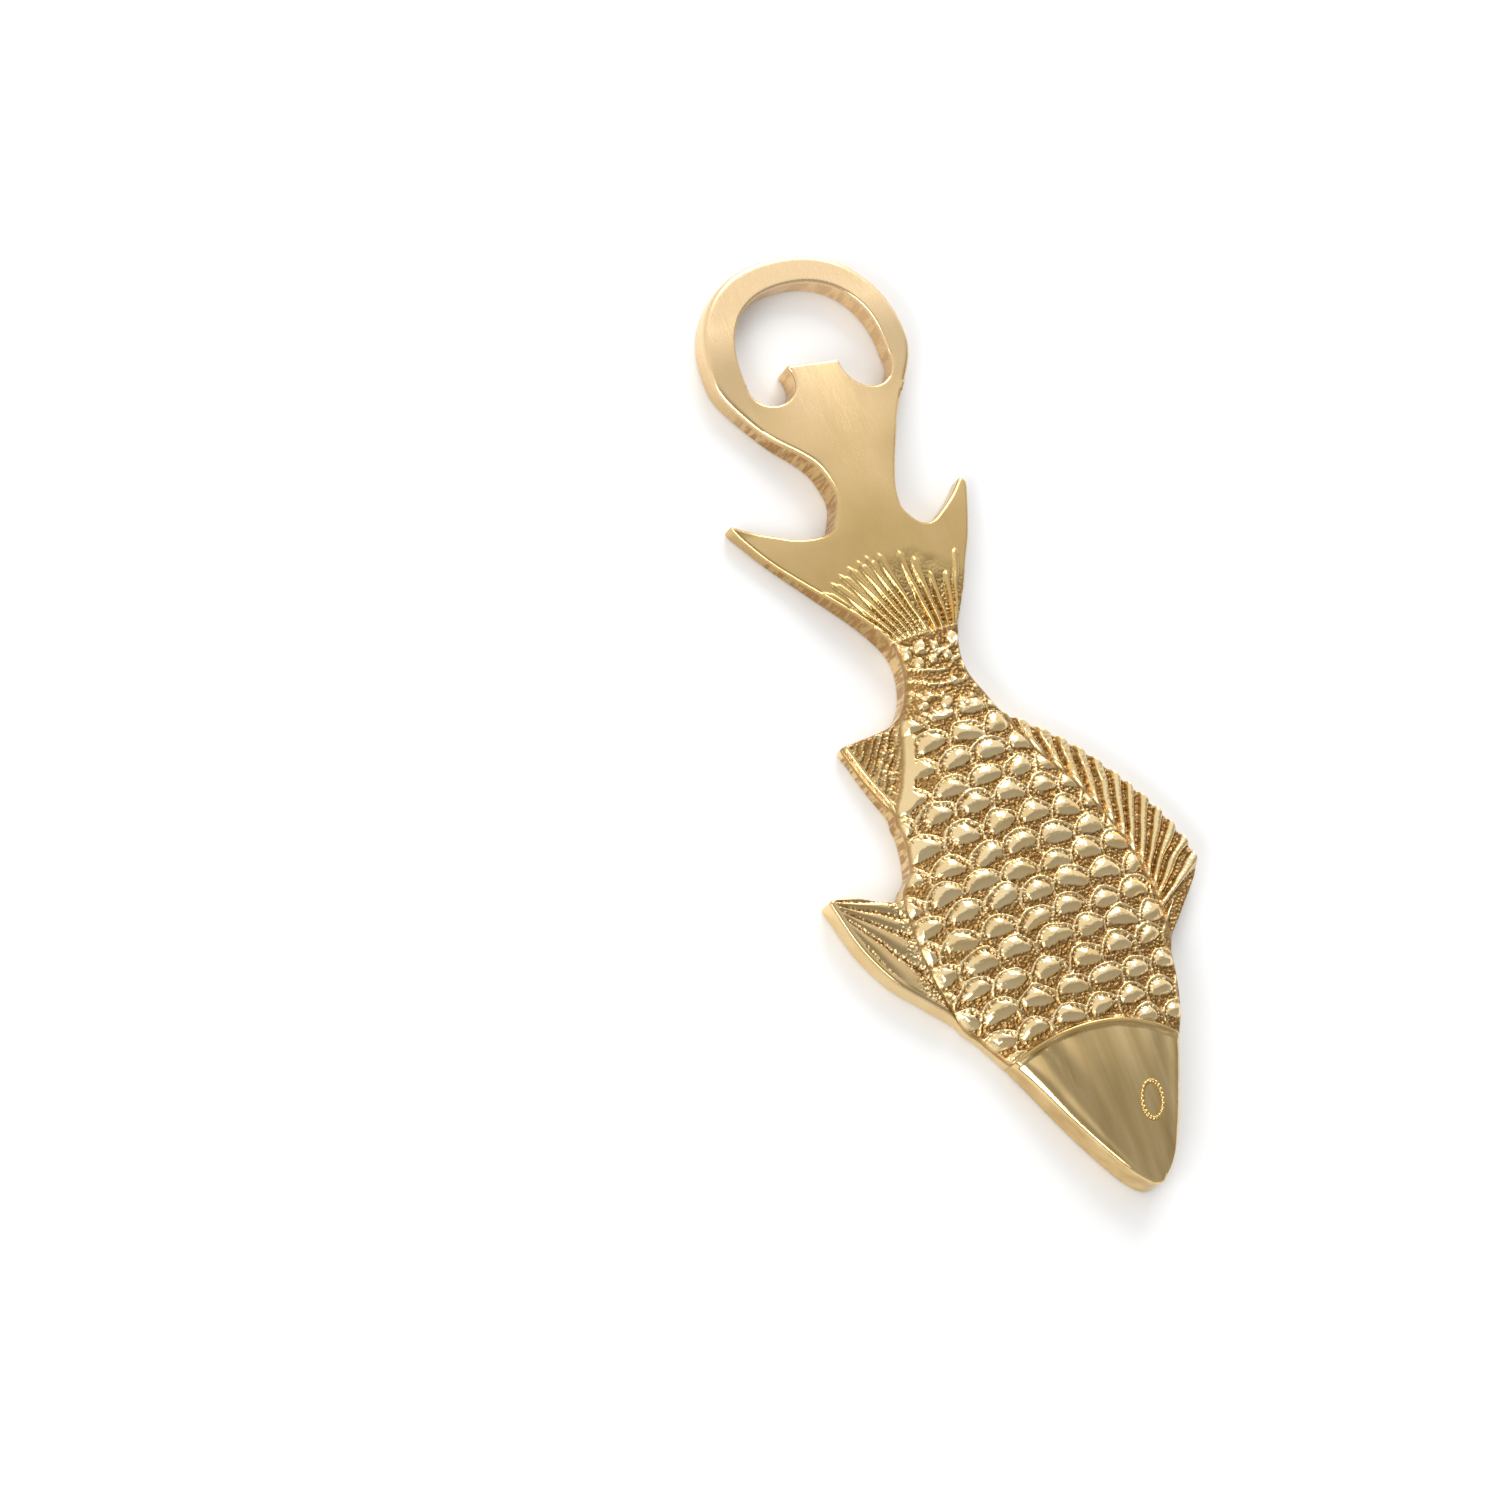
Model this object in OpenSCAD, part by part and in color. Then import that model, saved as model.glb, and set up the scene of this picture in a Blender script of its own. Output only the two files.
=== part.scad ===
// Fish bottle opener, cast in brass in one pour and lying on its flat back.
// X runs from the ring to the nose, Y from the belly to the back fin, Z up
// through the casting. Every part here is a region of the same casting, so
// neighbours meet face to face.

/* [Ring and mouth] */
// Outside diameter of the ring
ring_d = 31.5; // [31:0.1:32]
// Diameter of the opening inside the ring
mouth_d = 23.1; // [22:0.1:24]
// Diameter of the round lobe on the belly side of the prying tooth
belly_lobe_d = 7; // [6.6:0.1:7.6]
// Diameter of the round lobe on the back side of the prying tooth
back_lobe_d = 8.4; // [7.6:0.1:8.6]
// Slant of the prying tooth's edge, in degrees
tooth_slant = 7; // [0:1:14]

/* [Thickness] */
// Thickness of the ring
ring_t = 3.8; // [3.4:0.1:4.4]
// Thickness of the neck where it meets the tail
plate_t = 5; // [4.8:0.1:5.6]
// Thickness of the tail fin at its two tips
tail_tip_t = 2.4; // [2:0.1:3]
// Thickness of the tail fin between its rays
tail_web_t = 4.4; // [3.4:0.1:5]
// Thickness of the three body fins between their rays
fin_web_t = 3; // [2.6:0.1:3.4]
// Height of the rays above the fins
ray_rise = 0.5; // [0.2:0.1:0.7]
// Thickness of the scaled body along its two edges
body_edge_t = 4; // [3.7:0.1:4.4]
// Thickness of the scaled body along its middle, at its fullest
body_crown_t = 7.2; // [6:0.1:9]
// Thickness of the head along its middle, at the gill line
head_crown_t = 6.8; // [6:0.1:8]
// Thickness of the nose
nose_t = 4.6; // [4.2:0.1:5.2]

/* [Head details] */
// Width of the raised rim along the gill line
gill_rim_w = 1; // [0.6:0.1:1.4]
// Height of the gill rim above the body
gill_rim_rise = 0.4; // [0.2:0.1:0.8]
// Length of the eye
eye_length = 6.2; // [5:0.1:6.6]
// Width of the eye
eye_width = 4.1; // [3:0.1:4.4]
// Width of the ring round the eye
eye_band = 0.6; // [0.4:0.1:0.8]

/* [Hidden] */
$fn = 96;

crown_x = -70.5;
ring_centre = [crown_x + ring_d / 2, 3.1];
mouth_centre = [-54.75, 3.55];
squareness = 2.25;
lobe_x = -52.75;
belly_lobe_y = mouth_centre[1] - (mouth_d - belly_lobe_d) / 2;
back_lobe_y = mouth_centre[1] + (mouth_d - back_lobe_d) / 2;
tooth_edge_x = -53.9;
tooth_base_x = -50.5;
neck_x = -55;
fork_x = -30;
stalk_x = -12;
stalk_y = [-3.1, 8];
body_x = -1.6;
body_y = [-6.1, 7.7];
nose = [71, 2.8];
eye_centre = [59.95, 5.9];
eye_turn = -20;
eye_depth = 1.2;
brass = [0.80, 0.66, 0.38];
satin = [0.86, 0.74, 0.50];
polished = [0.66, 0.55, 0.32];
along_steps = 5;
across_steps = 14;

// A smooth curve through every point of a list but its first and last, which
// only set the direction at the two ends.
function curve_point(p, i, t) =
    0.5 * (2 * p[i]
        + (p[i + 1] - p[i - 1]) * t
        + (2 * p[i - 1] - 5 * p[i] + 4 * p[i + 1] - p[i + 2]) * t * t
        + (3 * p[i] - p[i - 1] - 3 * p[i + 1] + p[i + 2]) * t * t * t);
function smooth(p, steps = along_steps) = [
    for (i = [1 : len(p) - 3], s = [0 : steps - 1]) curve_point(p, i, s / steps),
    p[len(p) - 2]];
function backwards(p) = [for (i = [len(p) - 1 : -1 : 0]) p[i]];
function mix_of(a, b, t) = a * (1 - t) + b * t;
// A point part of the way along a list of points, by t from 0 to 1
function along(p, t) =
    let (s = t * (len(p) - 1), i = min(floor(s), len(p) - 2)) mix_of(p[i], p[i + 1], s - i);

// Outlines, each drawn from the ring towards the nose

neck_back = smooth([[-58.3, 18.2], [neck_x, 18.85], [-51.9, 18.1], [-48.4, 15.9],
    [-44.2, 12.75], [-40, 10.3], [-35.7, 8], [-32.8, 6.8], [fork_x, 6.5], [-28, 7.8]]);
neck_belly = smooth([[-58.3, -12.2], [neck_x, -12.65], [-52.4, -12.15], [-49, -10.35],
    [-44.7, -7.5], [-41.6, -4.75], [-39.3, -3.1], [-36.6, -2.3], [-33.8, -2.3], [fork_x, -4.4], [-29.2, -5.8]]);
tail_rear_back = smooth([[-32.8, 6.8], [fork_x, 6.5], [-27.6, 8.2], [-27.2, 10.3], [-28.4, 12.7],
    [-30.6, 15.8], [-32.9, 18.2], [-34, 19.4]]);
tail_rear_belly = smooth([[-32, -3], [fork_x, -4.4], [-29.35, -6.6], [-30.1, -9.8],
    [-31.55, -12.6], [-33, -15.5], [-34.7, -18.5], [-35.4, -19.6]]);
tail_edge_back = smooth([[-33.4, 17.2], [-32.9, 18.2], [-32.3, 18.9], [-31.2, 18.8], [-25, 16.05],
    [-20.5, 13.3], [-16.3, 10.9], [stalk_x, stalk_y[1]], [-9.4, 6.8]]);
tail_edge_belly = smooth([[-35.6, -18.9], [-34.7, -18.5], [-33.1, -17.9], [-28.4, -14.95],
    [-22.4, -10.3], [-16.5, -5.7], [stalk_x, stalk_y[0]], [-9, -2.6]]);
stalk_back = smooth([[-16.3, 10.9], [stalk_x, stalk_y[1]], [-9.4, 6.8], [-6.6, 6.3], [-4, 6.7],
    [body_x, body_y[1]], [4, 9.8]]);
stalk_belly = smooth([[-16.5, -5.7], [stalk_x, stalk_y[0]], [-9, -2.6], [-5.8, -3.3],
    [-3.4, -4.5], [body_x, body_y[0]], [0.2, -8]]);
body_back = smooth([[-4, 6.7], [body_x, body_y[1]], [4, 9.8], [8.8, 12], [15, 15.8], [24, 19.2],
    [33, 20.3], [41, 18.9], [47, 17.2], [52.5, 14.7], [57, 12.6]]);
body_belly = smooth([[-4, -5.6], [body_x, body_y[0]], [4.8, -8.3], [11.4, -12.2], [14, -12.4],
    [17.2, -12.9], [20, -13.9], [22.9, -16.2], [32, -16.7], [41.3, -15], [44.6, -12.9],
    [48.9, -10.5], [53.4, -8.3]], 4);
gill_line = smooth([[50.4, -13.2], [48.9, -10.5], [47.5, -5.8], [47.1, 0], [47.9, 5.9],
    [50.2, 11.3], [52.5, 14.7], [54, 17]], 4);
head_back = smooth([[48, 16.8], [52.5, 14.7], [58.5, 11.9], [64, 9.2], [68, 6.5],
    [70.9, nose[1] + 0.7], [71.3, 2]]);
head_belly = smooth([[44.6, -12.9], [48.9, -10.5], [53.4, -8.3], [58.9, -5.8], [64.6, -2.8],
    [68.6, -0.3], [70.9, nose[1] - 0.7], [71.3, 3.6]]);
dorsal_edge = smooth([[-1, 7], [1.2, 8.6], [4.2, 12.4], [9, 17.7], [15, 22.4], [22, 26.6],
    [28, 28.7], [31.2, 28], [35.8, 23.6], [39, 20.4], [41, 18.9], [43, 18.2]]);
anal_rear = smooth([[-2.8, -4.8], [body_x, body_y[0]], [-0.7, -8.3], [-0.35, -11.5],
    [-0.2, -15.6], [-0.1, -17]]);
anal_edge = smooth([[-1.5, -15.8], [-0.2, -15.6], [2.7, -14.9], [5.8, -14.1], [8.8, -13.1],
    [11.4, -12.2], [14, -12.4]]);
pelvic_rear = smooth([[21.5, -14.5], [22.9, -16.2], [22.2, -19.1], [20.8, -22.6], [20.1, -25.4],
    [20, -26.8], [20.2, -27.8]]);
pelvic_edge = smooth([[19, -26.6], [20, -26.8], [22.1, -26.4], [26.7, -25.3], [30.4, -23.8],
    [33.9, -21.7], [37.2, -18.7], [41.3, -15], [44.6, -12.9]]);

// Height of the casting above its back at a share v of the way from belly to
// back, for an edge height and a crown height
function domed(edge, crown, v) = edge + (crown - edge) * pow(sin(180 * v), 0.7);
// Crown and edge heights a share u of the way along the stalk, body and head
function stalk_crown(u) = mix_of(plate_t, 5.8, u);
function stalk_edge(u) = mix_of(tail_web_t, body_edge_t, u);
function body_crown(u) =
    mix_of(5.8, head_crown_t, u) + (body_crown_t - (5.8 + head_crown_t) / 2) * sin(180 * u);
function head_crown(u) = mix_of(head_crown_t, nose_t, pow(u, 1.4));
function head_edge(u) = mix_of(body_edge_t, nose_t - 0.3, u);

// A patch between four edges: belly and back run forwards, rear and front
// run from belly to back. Their corners coincide.
function patch_point(belly, back, rear, front, u, v) =
    mix_of(along(belly, u), along(back, u), v)
    + mix_of(along(rear, v), along(front, v), u)
    - mix_of(mix_of(rear[0], front[0], u),
        mix_of(rear[len(rear) - 1], front[len(front) - 1], u), v);

// A closed solid on such a patch, flat below, with tops[i][j] as its height
module slab(plan, tops) {
    nu = len(plan) - 1;
    nv = len(plan[0]) - 1;
    row = nv + 1;
    count = (nu + 1) * row;
    top = [for (i = [0 : nu], j = [0 : nv]) [plan[i][j][0], plan[i][j][1], tops[i][j]]];
    base = [for (i = [0 : nu], j = [0 : nv]) [plan[i][j][0], plan[i][j][1], 0]];
    rim = [
        for (i = [0 : nu]) i * row,
        for (j = [1 : nv]) nu * row + j,
        for (i = [nu - 1 : -1 : 0]) i * row + nv,
        for (j = [nv - 1 : -1 : 1]) j];
    polyhedron(
        points = concat(top, base),
        faces = [
            for (i = [0 : nu - 1], j = [0 : nv - 1])
                [i * row + j, i * row + j + 1, (i + 1) * row + j + 1, (i + 1) * row + j],
            for (i = [0 : nu - 1], j = [0 : nv - 1])
                [count + i * row + j, count + (i + 1) * row + j,
                    count + (i + 1) * row + j + 1, count + i * row + j + 1],
            for (k = [0 : len(rim) - 1])
                let (a = rim[k], b = rim[(k + 1) % len(rim)]) [a, b, count + b, count + a]
        ],
        convexity = 6);
}

function plan_of(belly, back, rear, front, nu, nv = across_steps) = [
    for (i = [0 : nu]) [for (j = [0 : nv]) patch_point(belly, back, rear, front, i / nu, j / nv)]];
function straight(a, b) = [for (j = [0 : across_steps]) mix_of(a, b, j / across_steps)];
function gill(shift) = [
    for (j = [0 : across_steps]) along(gill_line, j / across_steps) + [shift, 0]];

// The rim follows the gill line and narrows to nothing outside the outline,
// so its two ends lie on the head's own edges
function rim_front() = [
    for (j = [0 : across_steps])
        let (v = j / across_steps, p = along(gill_line, v))
            p + [gill_rim_w * min(1, 6 * v, 6 * (1 - v)) + 0.12, -0.1 * (2 * v - 1)]];

// A round outline that is a little square at its diagonals
function squared(a) = sign(a) * pow(abs(a), 2 / squareness);
module squarish(d) {
    turns = 96;
    polygon([for (i = [0 : turns - 1]) let (a = 360 * i / turns)
        [squared(cos(a)), squared(sin(a))] * d / 2]);
}

// Trims its children to a height that changes along X, given as [x, height]
module level_along_x(profile) {
    ends = [[profile[len(profile) - 1][0], -1], [profile[0][0], -1]];
    intersection() {
        children();
        translate([0, 40, 0]) rotate([90, 0, 0]) linear_extrude(80) polygon(concat(profile, ends));
    }
}

// Trims its children to a height that changes along Y, given as [y, height]
module level_along_y(profile) {
    ends = [[profile[len(profile) - 1][0], -1], [profile[0][0], -1]];
    intersection() {
        children();
        translate([-90, 0, 0]) rotate([90, 0, 90]) linear_extrude(180)
            polygon(concat(profile, ends));
    }
}

plate_profile = [[crown_x - 5, ring_t], [-58, ring_t], [-44, plate_t], [stalk_x, plate_t]];

module mouth_cutter() {
    translate([0, 0, -1]) linear_extrude(plate_t + 2) {
        intersection() {
            translate(mouth_centre) squarish(mouth_d);
            union() {
                translate([tooth_edge_x, mouth_centre[1]]) rotate(-tooth_slant)
                    translate([-40, -30]) square([40, 60]);
                translate([lobe_x - 40, back_lobe_y]) square([40, 20]);
                translate([lobe_x - 40, belly_lobe_y - 20]) square([40, 20]);
            }
        }
        translate([lobe_x, belly_lobe_y]) circle(d = belly_lobe_d);
        translate([lobe_x, back_lobe_y]) circle(d = back_lobe_d);
    }
}

module ring() {
    color(satin) level_along_x(plate_profile) difference() {
        linear_extrude(plate_t) intersection() {
            translate(ring_centre) squarish(ring_d);
            translate([neck_x - 40, -30]) square([40, 60]);
        }
        mouth_cutter();
    }
}

module tooth_region() {
    translate([tooth_edge_x - 2, belly_lobe_y + 2])
        square([tooth_base_x - tooth_edge_x + 2, back_lobe_y - belly_lobe_y - 4]);
}

module prying_tooth() {
    color(satin) level_along_x(plate_profile) difference() {
        linear_extrude(plate_t) tooth_region();
        mouth_cutter();
    }
}

module neck() {
    color(satin) level_along_x(plate_profile) difference() {
        linear_extrude(plate_t) difference() {
            polygon(concat(neck_belly, backwards(neck_back)));
            tooth_region();
        }
        mouth_cutter();
    }
}

module tail_outline() {
    polygon(concat(backwards(tail_rear_belly), tail_rear_back, tail_edge_back,
        backwards(tail_edge_belly)));
}

// One tapering ray from the root to the rim, w wide at the root
module ray(root, tip, w) {
    run = tip - root;
    turn = atan2(run[1], run[0]);
    translate(root) rotate(turn)
        polygon([[0, -w / 2], [norm(run), -w / 6], [norm(run), w / 6], [0, w / 2]]);
}

module tail_fin() {
    rays = 11;
    tip_y = [tail_rear_belly[len(tail_rear_belly) - 1][1] - 1, tail_edge_back[0][1] + 2];
    color(satin) level_along_y([[tip_y[0], tail_tip_t], [-4, plate_t], [8, plate_t],
        [tip_y[1], tail_tip_t]]) {
        linear_extrude(tail_web_t) tail_outline();
        linear_extrude(plate_t) intersection() {
            tail_outline();
            union() {
                // the plain polished part behind the rays
                difference() {
                    translate([-40, -30]) square([stalk_x + 40, 60]);
                    translate([-3, 2.2]) circle(r = 21.5);
                }
                for (i = [0 : rays - 1])
                    let (s = i / (rays - 1))
                        ray([stalk_x, mix_of(-2.2, 7, s)], [-25.5, mix_of(-11, 14, s)], 0.7);
            }
        }
    }
}

module tail_stalk() {
    nu = 8;
    plan = plan_of(stalk_belly, stalk_back,
        straight([stalk_x, stalk_y[0]], [stalk_x, stalk_y[1]]),
        straight([body_x, body_y[0]], [body_x, body_y[1]]), nu);
    color(brass) slab(plan, [for (i = [0 : nu]) [for (j = [0 : across_steps])
        domed(stalk_edge(i / nu), stalk_crown(i / nu), j / across_steps)]]);
}

module body() {
    nu = 40;
    plan = plan_of(body_belly, body_back, straight([body_x, body_y[0]], [body_x, body_y[1]]),
        gill(0), nu);
    color(brass) slab(plan, [for (i = [0 : nu]) [for (j = [0 : across_steps])
        domed(body_edge_t, body_crown(i / nu), j / across_steps)]]);
}

module gill_rim() {
    rear = gill(0);
    front = rim_front();
    color(satin) slab(
        [rear, front],
        [for (i = [0, 1]) [for (j = [0 : across_steps])
            domed(body_edge_t, head_crown_t, j / across_steps) + gill_rim_rise]]);
}

module eye_plan(grow) {
    turns = 48;
    polygon([for (i = [0 : turns - 1]) let (a = 360 * i / turns)
        [(eye_length / 2 + grow) * cos(a), (eye_width / 2 + grow) * sin(a)]]);
}

module eye_band_at(low, high) {
    translate([eye_centre[0], eye_centre[1], low]) rotate(eye_turn)
        linear_extrude(high - low) difference() {
            eye_plan(0);
            eye_plan(-eye_band);
        }
}

eye_top = mix_of(head_crown_t, nose_t, 0.42) - 0.05;

module head() {
    nu = 16;
    front = straight([70.9, nose[1] - 0.7], [70.9, nose[1] + 0.7]);
    rear = rim_front();
    last = len(rear) - 1;
    belly = concat([rear[0]], [for (p = head_belly) if (p[0] > rear[0][0] + 0.3) p]);
    back = concat([rear[last]], [for (p = head_back) if (p[0] > rear[last][0] + 0.3) p]);
    plan = plan_of(belly, back, rear, front, nu);
    color(polished) difference() {
        slab(plan, [for (i = [0 : nu]) [for (j = [0 : across_steps])
            domed(head_edge(i / nu), head_crown(i / nu), j / across_steps)]]);
        eye_band_at(eye_top - eye_depth, eye_top + 4);
    }
}

module eye_ring() {
    color(satin) eye_band_at(eye_top - eye_depth, eye_top);
}

// A flat fin with raised rays: each ray runs from a root point outwards
module rayed_fin(outline, roots, tips, w) {
    linear_extrude(fin_web_t) polygon(outline);
    linear_extrude(fin_web_t + ray_rise) intersection() {
        polygon(outline);
        for (i = [0 : len(roots) - 1]) ray(roots[i], tips[i], w);
    }
}

module dorsal_fin() {
    base = [for (p = body_back) if (p[0] >= 1.2 && p[0] <= 41) p];
    rays = 13;
    roots = [for (i = [0 : rays - 1]) along(base, mix_of(0.1, 0.8, i / (rays - 1)))];
    tips = [for (p = roots) p + [-6, 14]];
    color(brass) rayed_fin(concat(dorsal_edge, backwards(base)), roots, tips, 1.1);
}

module anal_fin() {
    base = [for (p = body_belly) if (p[0] > body_x && p[0] <= 11.4) p];
    color(brass) rayed_fin(concat(anal_rear, anal_edge, backwards(base)),
        [[1.5, -7.2], [4.2, -8.4], [6.8, -9.7]], [[0.4, -15], [2.4, -14.6], [5.2, -14]], 0.9);
}

module pelvic_fin() {
    base = [for (p = body_belly) if (p[0] > 22.9 && p[0] <= 41.3) p];
    color(brass) rayed_fin(concat(pelvic_rear, pelvic_edge, backwards(base)),
        [[26, -16.9], [29, -16.9], [32, -16.9], [35, -16.8]],
        [[20.8, -26.2], [22.5, -26], [26, -25.2], [29.4, -24]], 1.2);
}

ring();
prying_tooth();
neck();
tail_fin();
tail_stalk();
body();
gill_rim();
head();
eye_ring();
dorsal_fin();
anal_fin();
pelvic_fin();
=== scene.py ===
"""A souvenir bottle opener: a fish cast in brass in one pour, lying on its flat back.

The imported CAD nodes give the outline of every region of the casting. This script meshes all the
regions together, so that neighbours share their seam, raises the cast relief (scales, fin rays,
gill rim, eye) as real geometry, and gives each region its own finish. Lengths in the mesh code
are in millimetres in the CAD frame: x runs to the nose, y to the back fin, z up.
"""

import math

import bpy
import numpy as np
from mathutils import Matrix, Vector, geometry, kdtree


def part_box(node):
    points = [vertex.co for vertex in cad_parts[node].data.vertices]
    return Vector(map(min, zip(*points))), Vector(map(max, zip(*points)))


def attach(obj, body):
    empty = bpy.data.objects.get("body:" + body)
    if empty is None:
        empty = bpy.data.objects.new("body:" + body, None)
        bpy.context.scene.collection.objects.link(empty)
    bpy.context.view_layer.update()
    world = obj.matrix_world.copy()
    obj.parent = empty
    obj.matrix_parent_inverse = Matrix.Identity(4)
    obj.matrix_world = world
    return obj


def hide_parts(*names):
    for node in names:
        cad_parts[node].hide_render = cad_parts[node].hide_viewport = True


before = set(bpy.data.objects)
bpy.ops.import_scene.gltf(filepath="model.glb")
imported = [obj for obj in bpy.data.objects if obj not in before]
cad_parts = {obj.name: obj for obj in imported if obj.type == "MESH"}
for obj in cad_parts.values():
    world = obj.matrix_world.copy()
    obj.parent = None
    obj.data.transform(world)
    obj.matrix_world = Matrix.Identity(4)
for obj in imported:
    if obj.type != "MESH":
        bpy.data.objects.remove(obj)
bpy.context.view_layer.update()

MM = 1000.0  # millimetres in a metre
WELD = 1e-3  # two points closer than this are the same point
TINY = 1e-6  # keeps a division or a comparison safe
OUTLINE_STEP = 0.2  # distance between points along an outline or a seam
SEAM_STEP = 0.02  # distance between the points that a seam's length is measured along
FINE_STEP = 0.165  # distance between points on the cast relief
PLAIN_STEP = 0.36  # distance between points on the plain plate
HEAD_STEP = 0.7 * PLAIN_STEP  # distance between points on the head
SHORTEST_EDGE = 0.04  # an outline's points closer than this are thinned
CORNER_TURN = 28  # degrees: an outline that turns more than this at a point has a corner there
ROUNDING_TURNS = [15, 30, 45, 60, 75, 90]  # rows of points round the front edge, degrees
BACK_TURNS = [30, 60, 90]  # rows of points round the back edge, degrees
BACK_RADIUS = 0.35  # of the rounding along the back edge
BACK_TRIES = 8  # times that this radius may shrink where the outline is crowded
BACK_SHRINK = 0.6  # the share of the radius that is left each time
WALL_ROWS = 6  # rows of points down the walls
OUTSIDE = -1  # stands for no region, and for no point

PLAN_NODES = [
    "ring", "prying_tooth", "neck", "tail_fin", "tail_stalk", "body",
    "gill_rim", "head", "dorsal_fin", "anal_fin", "pelvic_fin",
]
FISH_BAND = ["tail_stalk", "body", "gill_rim", "head"]


def node_box(name):
    """Lowest and highest corner of a CAD node, in millimetres."""
    low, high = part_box(name)
    return np.array(low) * MM, np.array(high) * MM


# ---------------------------------------------------------------- the plan of the casting


def back_triangles(name):
    """Corner points of the triangles that make up a node's flat back."""
    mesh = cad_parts[name].data
    mesh.calc_loop_triangles()
    points = np.empty(len(mesh.vertices) * 3, np.float32)
    mesh.vertices.foreach_get("co", points)
    corners = np.empty(len(mesh.loop_triangles) * 3, np.int32)
    mesh.loop_triangles.foreach_get("vertices", corners)
    triangles = points.reshape(-1, 3)[corners].reshape(-1, 3, 3) * MM
    flat = np.abs(triangles[:, :, 2]).max(axis=1) < WELD
    return triangles[flat][:, :, :2]


def delaunay(points, faces):
    """Triangles inside the faces, in the numbering of the given points, and the face of each."""
    found = geometry.delaunay_2d_cdt([Vector(p) for p in points], [], faces, 1, 1e-5, True)
    coords, _, triangles, came_from, _, in_faces = found
    return np.array([tuple(c) for c in coords]), triangles, came_from, in_faces


def region_edges():
    """Every directed edge of the regions' triangles with the region on its left, and the points."""
    index, points, faces, labels = {}, [], [], []
    for label, name in enumerate(PLAN_NODES):
        for triangle in back_triangles(name):
            face = []
            for p in triangle[::-1]:  # the back faces down, and the plan is seen from above
                key = (round(p[0] / WELD), round(p[1] / WELD))
                if key not in index:
                    index[key] = len(points)
                    points.append(p)
                face.append(index[key])
            if len(set(face)) == 3:
                faces.append(face)
                labels.append(label)
    coords, triangles, _, in_faces = delaunay(points, faces)
    left = {}
    for triangle, owners in zip(triangles, in_faces):
        if owners:
            for a, b in zip(triangle, triangle[1:] + triangle[:1]):
                left[a, b] = labels[min(owners)]
    return coords, left


def chains_of(edges):
    """Joins directed edges (a, b) into chains of points; a closed chain ends where it starts."""
    following = dict(edges)
    starts = [a for a in following if a not in set(following.values())]
    chains = []
    while following:
        start = starts.pop() if starts else next(iter(following))
        chain = [start]
        while chain[-1] in following:
            chain.append(following.pop(chain[-1]))
        chains.append(chain)
    return chains


def turned(turn):
    """How far a rounding of radius 1 has moved sideways after a turn in degrees."""
    return 1 - math.cos(math.radians(turn))


def hermite(t, run, start, start_slope, end, end_slope):
    """The smooth curve from start to end over a run, at the share t of it."""
    return (
        (1 + 2 * t) * (1 - t) ** 2 * start
        + t * (1 - t) ** 2 * run * start_slope
        + t * t * (3 - 2 * t) * end
        + t * t * (t - 1) * run * end_slope
    )


def tangents(points, closed):
    """Unit tangents into and out of each point, which points are corners, and the length of the
    step after each point."""
    steps = np.roll(points, -1, axis=0) - points
    lengths = np.maximum(np.linalg.norm(steps, axis=1), 1e-9)
    after = steps / lengths[:, None]
    before = np.roll(after, 1, axis=0)
    h_after, h_before = lengths[:, None], np.roll(lengths, 1)[:, None]
    middle = (after * h_before + before * h_after) / (h_after + h_before)
    corner = (after * before).sum(axis=1) < math.cos(math.radians(CORNER_TURN))
    if not closed:
        corner[0] = corner[-1] = True
    arriving = np.where(corner[:, None], before, middle)
    leaving = np.where(corner[:, None], after, middle)
    return arriving, leaving, corner, lengths


def resample(points, kept, step, closed):
    """Points at an even spacing on a smooth curve through the given ones. Corners and the kept
    points stay. Returns the new points, the new place of each kept point and the corners."""
    arriving, leaving, corner, lengths = tangents(points, closed)
    count = len(points)
    stations = sorted(set(kept) | set(np.flatnonzero(corner).tolist())) or [0]
    spans = list(zip(stations, stations[1:]))
    if closed:
        spans.append((stations[-1], stations[0] + count))
    made, place, corners = [], {}, []
    for first, last in spans:
        place[first % count] = len(made)
        if corner[first % count]:
            corners.append(len(made))
        run = np.array([lengths[i % count] for i in range(first, last)])
        reach = np.concatenate([[0], np.cumsum(run)])
        pieces = max(1, round(reach[-1] / step))
        for k in range(pieces):
            s = reach[-1] * k / pieces
            i = min(int(np.searchsorted(reach, s, side="right")) - 1, len(run) - 1)
            a, b = (first + i) % count, (first + i + 1) % count
            t = (s - reach[i]) / run[i]
            made.append(hermite(t, run[i], points[a], leaving[a], points[b], arriving[b]))
    if not closed:
        place[count - 1] = len(made)
        made.append(points[-1])
    return np.array(made), place, corners


def softened(points, corners, passes=8, reach=4, pull=0.6):
    """Rounds the sharp corners of a closed outline a little, as polishing does."""
    weight = np.zeros((len(points), 1))
    for corner in corners:
        for k in range(-reach, reach + 1):
            weight[(corner + k) % len(points)] = 1
    for _ in range(passes):
        average = (np.roll(points, 1, axis=0) + np.roll(points, -1, axis=0)) / 2
        points = points + pull * weight * (average - points)
    return points


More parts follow.
